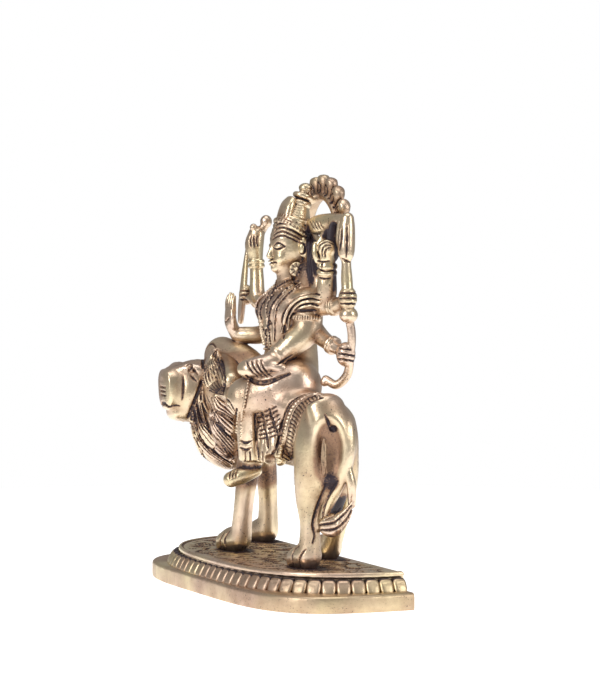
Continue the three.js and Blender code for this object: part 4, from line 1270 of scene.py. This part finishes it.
# %% The saddle cloth's border
BORDER_LEFT = (
    (5.7, -13.7), (1.6, -14.6), (-2.5, -16.8), (-4.4, -19.7), (-5.8, -24.1), (-6.7, -28.6),
    (-7.9, -33.3),
)
BORDER_RIGHT = (
    (7.3, -15.7), (4.1, -16.8), (1.5, -19.2), (-0.2, -22.7), (-1.6, -27.9), (-2.4, -32.2), (-3, -36.8),
)
RUNGS = 21
BAND_LINES = ((0, 0.36, -0.6), (0.12, 0.24, -0.3), (0.48, 0.3, -0.46), (1, 0.4, -0.6))
RUNG_ENDS = (0.52, 0.94)
BEAD_SHARE = 0.3
left, right = paired(BORDER_LEFT, BORDER_RIGHT, 2 * RUNGS + 1)
middle = met_by((left + right) / 2)
if len(middle) == len(left):
    raised(middle, np.linalg.norm(right - left, axis=1) / 2, 0.3)
for share, radius, rise in BAND_LINES:
    for run in runs(carried(left + (right - left) * share)):
        clay.line(run, radius, rise, taper=0.3, stain=1)
for rung in range(RUNGS):
    inner, outer = left[2 * rung + 1], right[2 * rung + 1]
    drawn([inner + (outer - inner) * share for share in RUNG_ENDS], 0.24, -0.36, stain=1)
for run in runs(carried(left + (right - left) * BEAD_SHARE)):
    clay.beads(run, 0.48, 1.2, 0.7, 0)
print("the border has", RUNGS, "rungs")


# %% [markdown]
# ## The plinth
# The plinth is a D-shaped slab with a plate on it. The plate's top is sunk a little inside a smooth
# lip, and is engraved all over with sprays, rosettes and lattice. The slab is plain, so it is a
# loft of outlines; the plate is clay, because it is engraved.

# %% The plinth's sizes and its D-shaped outline
SLAB_WIDTH, SLAB_DEPTH, SLAB_HEIGHT = 129.0, 45.0, 5.3
PETAL_ROW_HEIGHT, LIP_HEIGHT = 3.9, 0.35
PLATE_SIDE_INSET, PLATE_FRONT_INSET = 7.3, 3.6
SLAB_SQUARENESS, PLATE_SQUARENESS = 4.0, 2.7
BACK = SLAB_DEPTH / 2
LIP_WIDTH = 1.5
PLATE_TOP = FIELD_HEIGHT + LIP_HEIGHT
OUTLINE_PLACES = 400
LEAST_SLOPE = 0.001
BASE_CORNER = (-66, -24, 3)
BASE_SIZE = np.array([132, 48, 10])


def d_sizes(share):
    """Half width, depth and squareness at a share of the way from slab's edge to plate's edge."""
    square = SLAB_SQUARENESS + min(share, 1) * (PLATE_SQUARENESS - SLAB_SQUARENESS)
    return SLAB_WIDTH / 2 - share * PLATE_SIDE_INSET, SLAB_DEPTH - share * PLATE_FRONT_INSET, square


def slab_of(share, bottom, top, rounding, behind=0.0):
    """A D-shaped slab between two heights, with a rounded rim."""
    wide, deep, square = d_sizes(share)
    middle, half = (top + bottom) / 2, (top - bottom) / 2

    def gap_to(x, y, z):
        u = np.abs(x) / wide
        v = np.maximum(BACK - y, 0) / deep
        level = (u ** square + v ** square) ** (1 / square) + TINY
        steep = np.sqrt((u ** (square - 1) / wide) ** 2 + (v ** (square - 1) / deep) ** 2)
        slope = level ** (1 - square) * steep + LEAST_SLOPE
        out = np.maximum((level - 1) / slope, y - BACK - behind) + rounding
        return rounded(out, np.abs(z - middle) - half + rounding, rounding)

    low = np.array([-wide, BACK - deep, bottom])
    high = np.array([wide, BACK + behind, top])
    return low, high, gap_to


def outline(share, count):
    """Places evenly spaced along a D outline, from the right back corner round the front."""
    wide, deep, square = d_sizes(share)
    angle = np.linspace(0, math.pi, OUTLINE_PLACES)
    x = wide * np.sign(np.cos(angle)) * np.abs(np.cos(angle)) ** (2 / square)
    y = BACK - deep * np.sin(angle) ** (2 / square)
    flat = np.stack([x, y, np.zeros_like(x)], axis=1)
    length = np.linalg.norm(np.diff(flat, axis=0), axis=1).sum()
    return spaced(flat, length / count)


base = Clay(BASE_CORNER, np.ceil(BASE_SIZE / PITCH).astype(int))
base.add(slab_of(1.05, SLAB_HEIGHT - 1, FIELD_HEIGHT - 1, 0.2))
base.add(slab_of(1, SLAB_HEIGHT + PETAL_ROW_HEIGHT, PLATE_TOP, 0.75))
lip_share = 1 + LIP_WIDTH / PLATE_SIDE_INSET
base.cut(slab_of(lip_share, FIELD_HEIGHT, PLATE_TOP + 2, 0.15, behind=4), 0.2)
# Painted contact shadow on the field round each paw.
for x, y in PAWS.values():
    base.paint(egg((x + 1, y, FIELD_HEIGHT), (8.4, 6, 1.5)), 0.7, 1.6)
print("the plate's clay is", base.gap.shape)


SHARP_DEGREES = 35
SLAB_ROWS = (
    (0.05, 0), (0.01, 0.25), (0, 0.7), (0, 4.2), (0.015, 4.6), (0.05, 4.95), (0.1, 5.2),
    (0.17, SLAB_HEIGHT),
)


def skinned(name, rows, count):
    """A closed body with a D outline at each row, given as a share and a height."""
    rings = [outline(share, count) + (0, 0, z) for share, z in rows]
    around = len(rings[0])
    mesh = bpy.data.meshes.new(name)
    faces = [
        (low + i, low + (i + 1) % around, low + around + (i + 1) % around, low + around + i)
        for low in range(0, (len(rings) - 1) * around, around) for i in range(around)
    ]
    faces.append(tuple(range((len(rings) - 1) * around, len(rings) * around)))
    faces.append(tuple(reversed(range(around))))
    places = [tuple(place * MM) for ring in rings for place in ring]
    mesh.from_pydata(places, [], [face[::-1] for face in faces])
    mesh.shade_smooth()
    mesh.set_sharp_from_angle(angle=math.radians(SHARP_DEGREES))
    made = bpy.data.objects.new(name, mesh)
    bpy.context.scene.collection.objects.link(made)
    print(name, "has", sum(len(face) - 2 for face in faces), "triangles")
    return made


slab = skinned("plinth_slab", SLAB_ROWS, OUTLINE_PLACES)

# %% [markdown]
# The engraver worked the field with a few motifs again and again: a leafy spray with a curved
# stem, a rosette and a patch of lattice. Each is a few short strokes, set out on an uneven grid
# and turned by chance. A bump texture would be quicker, but real grooves catch the low light.

# %% Engraving the field
chance = np.random.default_rng(SEED)
FIELD_MARGIN = 2.4
FIELD_HALF_WIDTH = SLAB_WIDTH / 2 - PLATE_SIDE_INSET - FIELD_MARGIN
FIELD_DEPTH = SLAB_DEPTH - PLATE_FRONT_INSET - FIELD_MARGIN
END_MARGIN, BACK_MARGIN = 0.6, 0.8
LIP_LINE_OFFSET, LIP_LINE_PLACES = 0.05, 150
FINE = 0.34
FINEST = 0.3
STEM_PLACES = 7
ROSETTE_PETALS = 7
ROSETTE_REACH = (0.25, 0.6, 1)
MOTIF_PITCH = 5.2
SMALLEST_MOTIF, LARGEST_MOTIF = 2.3, 2.9


def stroke(places, radius=0.38, rise=-0.38):
    """One engraved stroke through flat places on the field."""
    path = np.array([(x, y, FIELD_HEIGHT) for x, y in places])
    across = np.abs(path[:, 0])
    edge = (across / FIELD_HALF_WIDTH) ** PLATE_SQUARENESS
    edge += ((BACK - path[:, 1]) / FIELD_DEPTH) ** PLATE_SQUARENESS
    inside = (across < FIELD_HALF_WIDTH - END_MARGIN) & (path[:, 1] < BACK - BACK_MARGIN)
    path = path[inside & (edge < 1)]
    if len(path) > 1:
        base.line(path, radius, rise, 0.05, taper=0.5, stain=1)


def turned(x, y, turn, size, places):
    """Places given in shares of a size, turned and moved to a spot on the field."""
    c, s = size * math.cos(turn), size * math.sin(turn)
    return [(x + c * u - s * v, y + s * u + c * v) for u, v in places]


def spray(x, y, turn, size):
    """A curved stem with a pair of bent leaves at each place inside its ends."""
    stem = [(s, 0.35 * math.sin(2.6 * s)) for s in np.linspace(-1, 1, STEM_PLACES)]
    stroke(turned(x, y, turn, size, stem))
    for u, v in stem[1:-1]:
        for side in BOTH_SIDES:
            leaf = [(u, v), (u + 0.3, v + side * 0.28), (u + 0.36, v + side * 0.5)]
            stroke(turned(x, y, turn, size, leaf), FINE)


def rosette(x, y, turn, size):
    """Short rays round a spot."""
    for petal in range(ROSETTE_PETALS):
        around = turn + 2 * math.pi * petal / ROSETTE_PETALS
        stroke(turned(x, y, around, size, [(share, 0) for share in ROSETTE_REACH]), FINE, -FINE)


def lattice(x, y, turn, size):
    """Two sets of slanting parallels that cross."""
    for v in (-0.8, -0.4, 0, 0.4, 0.8):
        stroke(turned(x, y, turn, size, [(-1, v), (1, v + 0.2)]), FINEST)
        stroke(turned(x, y, turn, size, [(v, -1), (v + 0.2, 1)]), FINEST)


MOTIFS = (spray, rosette, lattice, spray)
laid = 0
for x in np.arange(-57, 58, MOTIF_PITCH):
    for y in np.arange(-19, 21, MOTIF_PITCH):
        motif = MOTIFS[chance.integers(len(MOTIFS))]
        place = x + chance.uniform(-1, 1), y + chance.uniform(-1, 1)
        motif(*place, chance.uniform(0, 2 * math.pi), chance.uniform(SMALLEST_MOTIF, LARGEST_MOTIF))
        laid += 1
lip_line = outline(lip_share + LIP_LINE_OFFSET, LIP_LINE_PLACES)
base.line(lip_line + (0, 0, FIELD_HEIGHT), 0.34, -0.36, stain=1)
print(laid, "motifs on the field")

# %% [markdown]
# Between the slab and the plate runs a row of lotus petals. Each is a blunt pad that leans out,
# with a dark dot on each side of its middle, and its back half painted dark as the shade in the
# gaps between petals. They are alike, so a node tree makes one and sets copies along the outline
# at an even pitch, facing out. Placing them by a loop would do as well, but in the tree their
# sizes are inputs that stay together.

# %% The petals, set along the outline by a rule
PETAL_PITCH = 4.5
PETAL_SEGMENTS = 32
PETAL_RINGS = 24
PETAL_SIZES = {"Half Width": 2.24, "Half Thickness": 1.35, "Half Height": 2.4}
PETAL_LEAN = 0.5
PETAL_SHARE = 0.8
PETAL_LIFT = 6.95
PETAL_BLUNTNESS = (0.5, 0.9, 0.72)
DOT_ACROSS, DOT_UP, DOT_DEPTH = 0.75, 0.9, 0.25
DOT_EDGE, DOT_CORE = 0.6, 0.3
RIM_SHADE_START, RIM_SHADE_END = -0.1, -0.7
ROW_SPACING = 0.25


def node(tree, kind, values={}, links={}, **settings):
    """Adds a node: settings are its own properties, values fill its sockets, links join them."""
    made = tree.nodes.new(kind)
    for key, value in settings.items():
        setattr(made, key, value)
    for key, value in values.items():
        made.inputs[key].default_value = value
    for key, (source, output) in links.items():
        tree.links.new(source.outputs[output], made.inputs[key])
    return made


def petal_tree():
    """A node tree that sets rounded, leaning petals along the curve it is given, each with two dark
    dots and its back half painted dark as shade.
    """
    tree = bpy.data.node_groups.new("lotus petals on an outline", "GeometryNodeTree")
    face = tree.interface
    face.new_socket("Outline", in_out="INPUT", socket_type="NodeSocketGeometry")
    face.new_socket("Count", in_out="INPUT", socket_type="NodeSocketInt")
    for title in (*PETAL_SIZES, "Lean"):
        face.new_socket(title, in_out="INPUT", socket_type="NodeSocketFloat")
    face.new_socket("Brass", in_out="INPUT", socket_type="NodeSocketMaterial")
    face.new_socket("Petals", in_out="OUTPUT", socket_type="NodeSocketGeometry")
    given = node(tree, "NodeGroupInput")
    ball_sizes = {"Segments": PETAL_SEGMENTS, "Rings": PETAL_RINGS, "Radius": 1.0}
    ball_mesh = node(tree, "GeometryNodeMeshUVSphere", ball_sizes)
    place = node(tree, "GeometryNodeInputPosition")
    size = node(tree, "ShaderNodeVectorMath", {}, {0: (place, 0)}, operation="ABSOLUTE")
    squared = node(
        tree, "ShaderNodeVectorMath", {1: PETAL_BLUNTNESS}, {0: (size, 0)}, operation="POWER",
    )
    sign = node(tree, "ShaderNodeVectorMath", {}, {0: (place, 0)}, operation="SIGN")
    blunt = node(
        tree, "ShaderNodeVectorMath", {}, {0: (squared, 0), 1: (sign, 0)}, operation="MULTIPLY",
    )
    sizes = node(tree, "ShaderNodeCombineXYZ", {}, {
        axis: (given, title) for axis, title in zip("XYZ", PETAL_SIZES)
    })
    grown = node(tree, "ShaderNodeVectorMath", {}, {0: (blunt, 0), 1: (sizes, 0)}, operation="MULTIPLY")
    parts = node(tree, "ShaderNodeSeparateXYZ", {}, {0: (grown, 0)})
    lean = node(tree, "ShaderNodeMath", {}, {0: (parts, "Z"), 1: (given, "Lean")}, operation="MULTIPLY")
    back = node(tree, "ShaderNodeMath", {}, {0: (parts, "Y"), 1: (lean, 0)}, operation="SUBTRACT")
    from_side = node(tree, "ShaderNodeMath", {}, {0: (parts, "X")}, operation="ABSOLUTE")
    dot_across = node(
        tree, "ShaderNodeMath", {1: DOT_ACROSS}, {0: (from_side, 0)}, operation="SUBTRACT",
    )
    dot_up = node(tree, "ShaderNodeMath", {1: DOT_UP}, {0: (parts, "Z")}, operation="SUBTRACT")
    dot_place = node(tree, "ShaderNodeCombineXYZ", {}, {"X": (dot_across, 0), "Y": (dot_up, 0)})
    dot_gap = node(tree, "ShaderNodeVectorMath", {}, {0: (dot_place, 0)}, operation="LENGTH")
    dot_range = {"From Min": DOT_EDGE, "From Max": DOT_CORE}
    dot = node(tree, "ShaderNodeMapRange", dot_range, {"Value": (dot_gap, "Value")})
    # Painted shade on the petal's back half, seen in the gaps between petals.
    rim_shade_range = {"From Min": RIM_SHADE_START, "From Max": RIM_SHADE_END}
    rim_shade = node(tree, "ShaderNodeMapRange", rim_shade_range, {"Value": (parts, "Y")})
    pit = node(tree, "ShaderNodeMath", {1: DOT_DEPTH}, {0: (dot, 0)}, operation="MULTIPLY")
    deep = node(tree, "ShaderNodeMath", {}, {0: (back, 0), 1: (pit, 0)}, operation="SUBTRACT")
    formed = node(
        tree, "ShaderNodeCombineXYZ", {}, {"X": (parts, "X"), "Y": (deep, 0), "Z": (parts, "Z")},
    )
    dark = node(tree, "ShaderNodeMath", {}, {0: (dot, 0), 1: (rim_shade, 0)}, operation="MAXIMUM")
    shaped = node(
        tree, "GeometryNodeSetPosition", {},
        {"Geometry": (ball_mesh, "Mesh"), "Position": (formed, 0)},
    )
    kept = {"Geometry": (shaped, 0), "Value": (dark, 0)}
    stained = node(
        tree, "GeometryNodeStoreNamedAttribute", {"Name": "stain"}, kept, data_type="FLOAT",
        domain="POINT",
    )
    smooth = node(tree, "GeometryNodeSetShadeSmooth", {}, {"Geometry": (stained, 0)})
    curve = node(tree, "GeometryNodeMeshToCurve", {}, {"Mesh": (given, "Outline")})
    on_curve = {"Curve": (curve, 0), "Count": (given, "Count")}
    points = node(tree, "GeometryNodeCurveToPoints", {}, on_curve, mode="COUNT")
    along = {"Vector": (points, "Tangent")}
    facing = node(tree, "FunctionNodeAlignRotationToVector", {}, along, axis="X", pivot_axis="Z")
    set_out = {"Points": (points, "Points"), "Instance": (smooth, 0), "Rotation": (facing, 0)}
    copies = node(tree, "GeometryNodeInstanceOnPoints", {}, set_out)
    real = node(tree, "GeometryNodeRealizeInstances", {}, {"Geometry": (copies, 0)})
    dressed = {"Geometry": (real, 0), "Material": (given, "Brass")}
    brass_on = node(tree, "GeometryNodeSetMaterial", {}, dressed)
    node(tree, "NodeGroupOutput", {}, {"Petals": (brass_on, 0)})
    return tree


def grown_from(tree, name, places, values):
    """Runs a node tree on a line of places and keeps what it makes as a plain mesh object."""
    mesh = bpy.data.meshes.new(name)
    edges = [(k, k + 1) for k in range(len(places) - 1)]
    mesh.from_pydata([tuple(place) for place in places], edges, [])
    made = bpy.data.objects.new(name, mesh)
    bpy.context.scene.collection.objects.link(made)
    grow = made.modifiers.new("grow", "NODES")
    grow.node_group = tree
    for item in tree.interface.items_tree:
        if item.in_out == "INPUT" and item.name in values:
            grow[item.identifier] = values[item.name]
    grown = bpy.data.meshes.new_from_object(made.evaluated_get(bpy.context.evaluated_depsgraph_get()))
    made.modifiers.clear()
    made.data = grown
    grown.transform(Matrix.Scale(MM, 4))
    print(name, "has", sum(len(face.vertices) - 2 for face in grown.polygons), "triangles")
    return made


print("petals every", PETAL_PITCH, "mm")

# %% [markdown]
# ## From clay to brass
# The wax is cast: the clay's surface becomes a mesh, thinned to a count that the library can carry.
# Each point keeps three numbers for the brass: the patina left by the tools with some painted shade,
# how sharp a crease it lies in, and how deep a hollow. The last two are the clay's mean gap over a
# small and a large cube round the point. A baked occlusion map would tell the same, but needs a
# picture.

# %% Clay to mesh
CREASE_REACH, HOLLOW_REACH = 0.6, 2.0
CREASE_DEPTH, HOLLOW_DEPTH = 1, 2
SHARES = (5, 25, 50, 75, 95)


def box_blur(grid, half):
    """The mean of a grid over a cube round each spot."""
    for axis in range(3):
        first, last = (np.take(grid, [end], axis) for end in (0, -1))
        padded = np.concatenate(
            [np.repeat(first, half + 1, axis), grid, np.repeat(last, half, axis)], axis,
        )
        sums = np.cumsum(padded, axis=axis, dtype=np.float32)
        count = grid.shape[axis]
        near = (slice(None),) * axis
        wide = 2 * half + 1
        beyond, before = sums[near + (slice(wide, wide + count),)], sums[near + (slice(0, count),)]
        grid = (beyond - before) / wide
    return grid


def mesh_of(clay, name, lift=0.0, scale=1.0):
    """Turns clay into a mesh object in metres, with its stain, crease and hollow."""
    grid = openvdb.FloatGrid(background=FAR)
    grid.copyFromArray(clay.gap)
    places, quads = grid.convertToQuads(isovalue=0.0)
    mesh = bpy.data.meshes.new(name)
    mesh.vertices.add(len(places))
    mesh.vertices.foreach_set("co", (places * PITCH + clay.low).astype(np.float32).ravel())
    mesh.loops.add(quads.size)
    mesh.loops.foreach_set("vertex_index", quads[:, ::-1].astype(np.int32).ravel())
    mesh.polygons.add(len(quads))
    mesh.polygons.foreach_set("loop_start", np.arange(0, quads.size, 4, dtype=np.int32))
    mesh.update(calc_edges=True)
    made = bpy.data.objects.new(name, mesh)
    bpy.context.scene.collection.objects.link(made)
    print(name, "has", len(quads), "quads before it is thinned")
    thin = made.modifiers.new("thin", "DECIMATE")
    thin.ratio = min(1.0, MOST_TRIANGLES / (2 * len(quads)))
    thinned = bpy.data.meshes.new_from_object(made.evaluated_get(bpy.context.evaluated_depsgraph_get()))
    made.modifiers.clear()
    made.data = thinned
    flat = np.empty(len(thinned.vertices) * 3, np.float32)
    thinned.vertices.foreach_get("co", flat)
    places = flat.reshape(-1, 3).astype(float)
    fine = box_blur(np.clip(clay.gap, -CREASE_DEPTH, CREASE_DEPTH), round(CREASE_REACH / PITCH))
    broad = box_blur(np.clip(clay.gap, -HOLLOW_DEPTH, HOLLOW_DEPTH), round(HOLLOW_REACH / PITCH))
    kept = {
        "stain": clay.read(clay.stain, places), "crease": -clay.read(fine, places),
        "hollow": -clay.read(broad, places),
    }
    for title, values in kept.items():
        layer = thinned.attributes.new(title, "FLOAT", "POINT")
        layer.data.foreach_set("value", values.astype(np.float32))
        print(title, "of", name, "at", SHARES, "percent:", np.round(np.percentile(values, SHARES), 2))
    thinned.vertices.foreach_set(
        "co", ((places * scale + (0, 0, lift)) * MM).astype(np.float32).ravel(),
    )
    thinned.shade_smooth()
    thinned.update()
    print(name, "has", len(thinned.polygons), "faces")
    return made


figure = mesh_of(clay, "lion_and_goddess_cast", FIELD_HEIGHT, STEP)
base_body = mesh_of(base, "plinth_cast")

# %% [markdown]
# ## Brass
# The same near black is painted as shade in a few places: round the paws, under the resting hand and
# the hem, beside the neck, down the raised arm and in the petals' backs.
# The material is cast brass, antiqued and then buffed. It gives the eye a bright, slightly rosy
# metal on the high parts, a dull brown metal in the hollows, and an almost black patina in every
# groove, with freckles and pits where the buffing wheel passed over. One stain alone would leave
# a clean toy; a picture would not follow the carving. The plinth is the same brass, duller.
#
# Every pattern is sized in millimetres: clouds of dullness as wide as a paw, patches of rosiness
# as long as a shin, and grain, freckles and pits under a millimetre.

# %% Brass
CLOUD_SIZE, PATCH_SIZE = 11.1, 26.3
GRAIN_SIZE, FRECKLE_SIZE, PIT_SIZE = 0.667, 0.588, 0.385
BUMP_DEPTH = 0.3


def colour(code):
    """A colour for a socket, from its six signs as screens show it."""
    parts = [int(code[i:i + 2], 16) / 255 for i in (0, 2, 4)]
    return tuple(c / 12.92 if c <= 0.04045 else ((c + 0.055) / 1.055) ** 2.4 for c in parts) + (1.0,)


def brass(name, bright, rosy, dull, patina_and_shade_colour, film):
    """Cast brass, antiqued: dark in the grooves and where shade is painted, dull in the hollows and
    buffed on the high parts.
    """
    material = bpy.data.materials.new(name)
    material.use_nodes = True
    tree = material.node_tree
    tree.nodes.clear()
    place = node(tree, "ShaderNodeTexCoord")
    stain = node(tree, "ShaderNodeAttribute", attribute_name="stain")
    crease = node(tree, "ShaderNodeAttribute", attribute_name="crease")
    hollow = node(tree, "ShaderNodeAttribute", attribute_name="hollow")
    spot = {"Vector": (place, "Object")}
    cloud = node(
        tree, "ShaderNodeTexNoise",
        {"Scale": 1 / (CLOUD_SIZE * MM), "Detail": 5.0, "Roughness": 0.6}, spot,
    )
    grain = node(tree, "ShaderNodeTexNoise", {"Scale": 1 / (GRAIN_SIZE * MM), "Detail": 3.0}, spot)
    pits = node(tree, "ShaderNodeTexNoise", {"Scale": 1 / (PIT_SIZE * MM), "Detail": 2.0}, spot)
    creased = node(
        tree, "ShaderNodeMapRange", {"From Min": 0.07, "From Max": 0.24},
        {"Value": (crease, "Fac")},
    )
    deepest = node(
        tree, "ShaderNodeMath", {}, {0: (stain, "Fac"), 1: (creased, 0)}, operation="MAXIMUM",
    )
    wander = {"From Min": 0.3, "From Max": 0.7, "To Min": -0.12, "To Max": 0.12}
    uneven = node(tree, "ShaderNodeMapRange", wander, {"Value": (grain, "Fac")})
    edge = node(tree, "ShaderNodeMath", {}, {0: (deepest, 0), 1: (uneven, 0)}, operation="ADD")
    soft = {"From Min": 0.36, "From Max": 0.7}
    dark = node(tree, "ShaderNodeMapRange", soft, {"Value": (edge, 0)}, interpolation_type="SMOOTHSTEP")
    sunk = node(
        tree, "ShaderNodeMapRange", {"From Min": -0.3, "From Max": 0.55},
        {"Value": (hollow, "Fac")},
    )
    clouding = {"From Min": 0.35, "From Max": 0.7, "To Min": -0.3, "To Max": 0.35}
    cloudy = node(tree, "ShaderNodeMapRange", clouding, {"Value": (cloud, "Fac")})
    worn = node(tree, "ShaderNodeMath", {}, {0: (sunk, 0), 1: (cloudy, 0)}, operation="ADD")
    # Partly dark marks, patina and painted shade alike, pull the brass toward the dull colour.
    half_stain = {"From Min": 0.05, "From Max": 0.45, "To Max": 0.9}
    part_stained = node(tree, "ShaderNodeMapRange", half_stain, {"Value": (stain, "Fac")})
    stained = node(tree, "ShaderNodeMath", {}, {0: (worn, 0), 1: (part_stained, 0)}, operation="ADD")
    filmed = node(tree, "ShaderNodeMath", {1: film}, {0: (stained, 0)}, operation="ADD", use_clamp=True)
    broad = node(tree, "ShaderNodeTexNoise", {"Scale": 1 / (PATCH_SIZE * MM), "Detail": 2.0}, spot)
    patch = node(
        tree, "ShaderNodeMapRange", {"From Min": 0.38, "From Max": 0.62}, {"Value": (broad, "Fac")},
    )
    clean = node(
        tree, "ShaderNodeMix", {6: colour(bright), 7: colour(rosy)}, {"Factor": (patch, 0)},
        data_type="RGBA",
    )
    body = node(
        tree, "ShaderNodeMix", {7: colour(dull)}, {"Factor": (filmed, 0), 6: (clean, 2)},
        data_type="RGBA",
    )
    pitted = node(
        tree, "ShaderNodeMapRange", {"From Min": 0.66, "From Max": 0.74}, {"Value": (pits, "Fac")},
    )
    some = node(tree, "ShaderNodeMath", {}, {0: (pitted, 0), 1: (filmed, 0)}, operation="MULTIPLY")
    freckle = node(tree, "ShaderNodeTexNoise", {"Scale": 1 / (FRECKLE_SIZE * MM), "Detail": 1.0}, spot)
    freckles = node(
        tree, "ShaderNodeMapRange", {"From Min": 0.67, "From Max": 0.72},
        {"Value": (freckle, "Fac")},
    )
    where = node(
        tree, "ShaderNodeMapRange", {"From Min": 0.47, "From Max": 0.6}, {"Value": (cloud, "Fac")},
    )
    specks = node(tree, "ShaderNodeMath", {}, {0: (freckles, 0), 1: (where, 0)}, operation="MULTIPLY")
    pocked = node(tree, "ShaderNodeMath", {}, {0: (some, 0), 1: (specks, 0)}, operation="MAXIMUM")
    all_dark = node(tree, "ShaderNodeMath", {}, {0: (dark, 0), 1: (pocked, 0)}, operation="MAXIMUM")
    rough = node(tree, "ShaderNodeMapRange", {"To Min": 0.3, "To Max": 0.5}, {"Value": (filmed, 0)})
    rise = node(
        tree, "ShaderNodeBump", {"Strength": 0.28, "Distance": BUMP_DEPTH * MM},
        {"Height": (grain, "Fac")},
    )
    surface = {"Base Color": (body, 2), "Roughness": (rough, 0), "Normal": (rise, 0)}
    metal = node(tree, "ShaderNodeBsdfPrincipled", {"Metallic": 1.0}, surface)
    crust_and_painted_shade = node(
        tree, "ShaderNodeBsdfPrincipled",
        {"Base Color": colour(patina_and_shade_colour), "Roughness": 0.5, "Metallic": 0.2},
    )
    mix = node(tree, "ShaderNodeMixShader", {}, {0: (all_dark, 0), 1: (metal, 0), 2: (crust_and_painted_shade, 0)})
    node(tree, "ShaderNodeOutputMaterial", {}, {"Surface": (mix, 0)})
    return material


figure_brass = brass("cast brass, antiqued", "e9d7b0", "e2c8b4", "a08068", "2c1e26", 0.03)
plinth_brass = brass("cast brass, antiqued, duller", "e6d4a8", "dec4ae", "a88a72", "2c1e24", 0.2)

row = spaced(outline(PETAL_SHARE, OUTLINE_PLACES) + (0, 0, PETAL_LIFT), ROW_SPACING)
half_petal = int(PETAL_PITCH / 2 / ROW_SPACING)
row = row[half_petal:-half_petal]
length = np.linalg.norm(np.diff(row, axis=0), axis=1).sum()
count = int(round(length / PETAL_PITCH)) + 1
values = {"Count": count, "Lean": PETAL_LEAN, "Brass": plinth_brass, **PETAL_SIZES}
petals = grown_from(petal_tree(), "plinth_petals", row, values)
print(count, "petals round the plinth")

# %% [markdown]
# Each finished mesh is tied to the part in the frame: it rides the root and stands in for the
# solid of the same form, which is hidden.

# %% The pieces and the solids they replace
figure.data.materials.append(figure_brass)
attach(figure, "root")
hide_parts("lion_and_goddess")
base_body.data.materials.append(plinth_brass)
slab.data.materials.append(plinth_brass)
for piece in (slab, base_body, petals):
    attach(piece, "root")
    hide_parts("plinth")
print("the casting and the plinth's three meshes ride the root")

# %% [markdown]
# ## The studio
# The figure was photographed on white paper in soft daylight, so the stage is a pale floor, a
# white room and three broad lamps. The camera is far off with a long lens, which keeps the
# plinth's edges nearly parallel. The camera sees the room as pure white, but the room lights the
# brass with a third of that, or every reflection would be white. The lamps do the rest.

# %% The floor, the light and the camera
FLOOR_RADIUS = 0.34
FLOOR_GLOW = 0.75
ROOM_STRENGTH = 0.34
LAMP_TARGET = Vector((0, 0, 0.06))
LENS, SENSOR = 177.93, 36

bpy.ops.mesh.primitive_circle_add(vertices=96, radius=FLOOR_RADIUS, fill_type="NGON")
floor = bpy.context.object
floor.name = "floor"
white = bpy.data.materials.new("pale floor")
white.use_nodes = True
paper = white.node_tree.nodes["Principled BSDF"].inputs
paper["Base Color"].default_value = colour("fafafc")
paper["Roughness"].default_value = 0.6
paper["Emission Color"].default_value = colour("ffffff")
paper["Emission Strength"].default_value = FLOOR_GLOW
floor.data.materials.append(white)

world = bpy.data.worlds.new("studio")
bpy.context.scene.world = world
world.use_nodes = True
tree = world.node_tree
tree.nodes.clear()
ray = node(tree, "ShaderNodeLightPath")
room = node(tree, "ShaderNodeBackground", {"Color": colour("ffffff"), "Strength": ROOM_STRENGTH})
backdrop = node(tree, "ShaderNodeBackground", {"Color": colour("ffffff"), "Strength": 1.0})
seen = node(
    tree, "ShaderNodeMixShader", {}, {0: (ray, "Is Camera Ray"), 1: (room, 0), 2: (backdrop, 0)},
)
node(tree, "ShaderNodeOutputWorld", {}, {"Surface": (seen, 0)})
bpy.context.scene.view_settings.view_transform = "Standard"


def lamp(name, place, size, power):
    """A broad lamp at a place, turned to the figure."""
    light = bpy.data.lights.new(name, "AREA")
    light.shape = "RECTANGLE"
    light.size, light.size_y = size
    light.energy = power
    made = bpy.data.objects.new(name, light)
    made.location = place
    made.rotation_euler = (LAMP_TARGET - Vector(place)).to_track_quat("-Z", "Y").to_euler()
    bpy.context.scene.collection.objects.link(made)


lamp("left", (0.34, -1.0, 0.6), (0.5, 0.7), 6.2)
lamp("right", (0.82, 0.62, 0.5), (0.3, 0.7), 3.6)
lamp("top", (0.1, 0.0, 1.2), (0.8, 0.8), 4)

camera = bpy.data.cameras.new("camera")
camera.lens = LENS
camera.sensor_width = SENSOR
seen_from = bpy.data.objects.new("camera", camera)
seen_from.location = Vector(EYE + (0, 0, FIELD_HEIGHT)) * MM
seen_from.rotation_euler = Vector(SIGHT).to_track_quat("-Z", "Y").to_euler()
bpy.context.scene.collection.objects.link(seen_from)
bpy.context.scene.camera = seen_from
print("the camera stands", round(seen_from.location.length, 2), "m away")
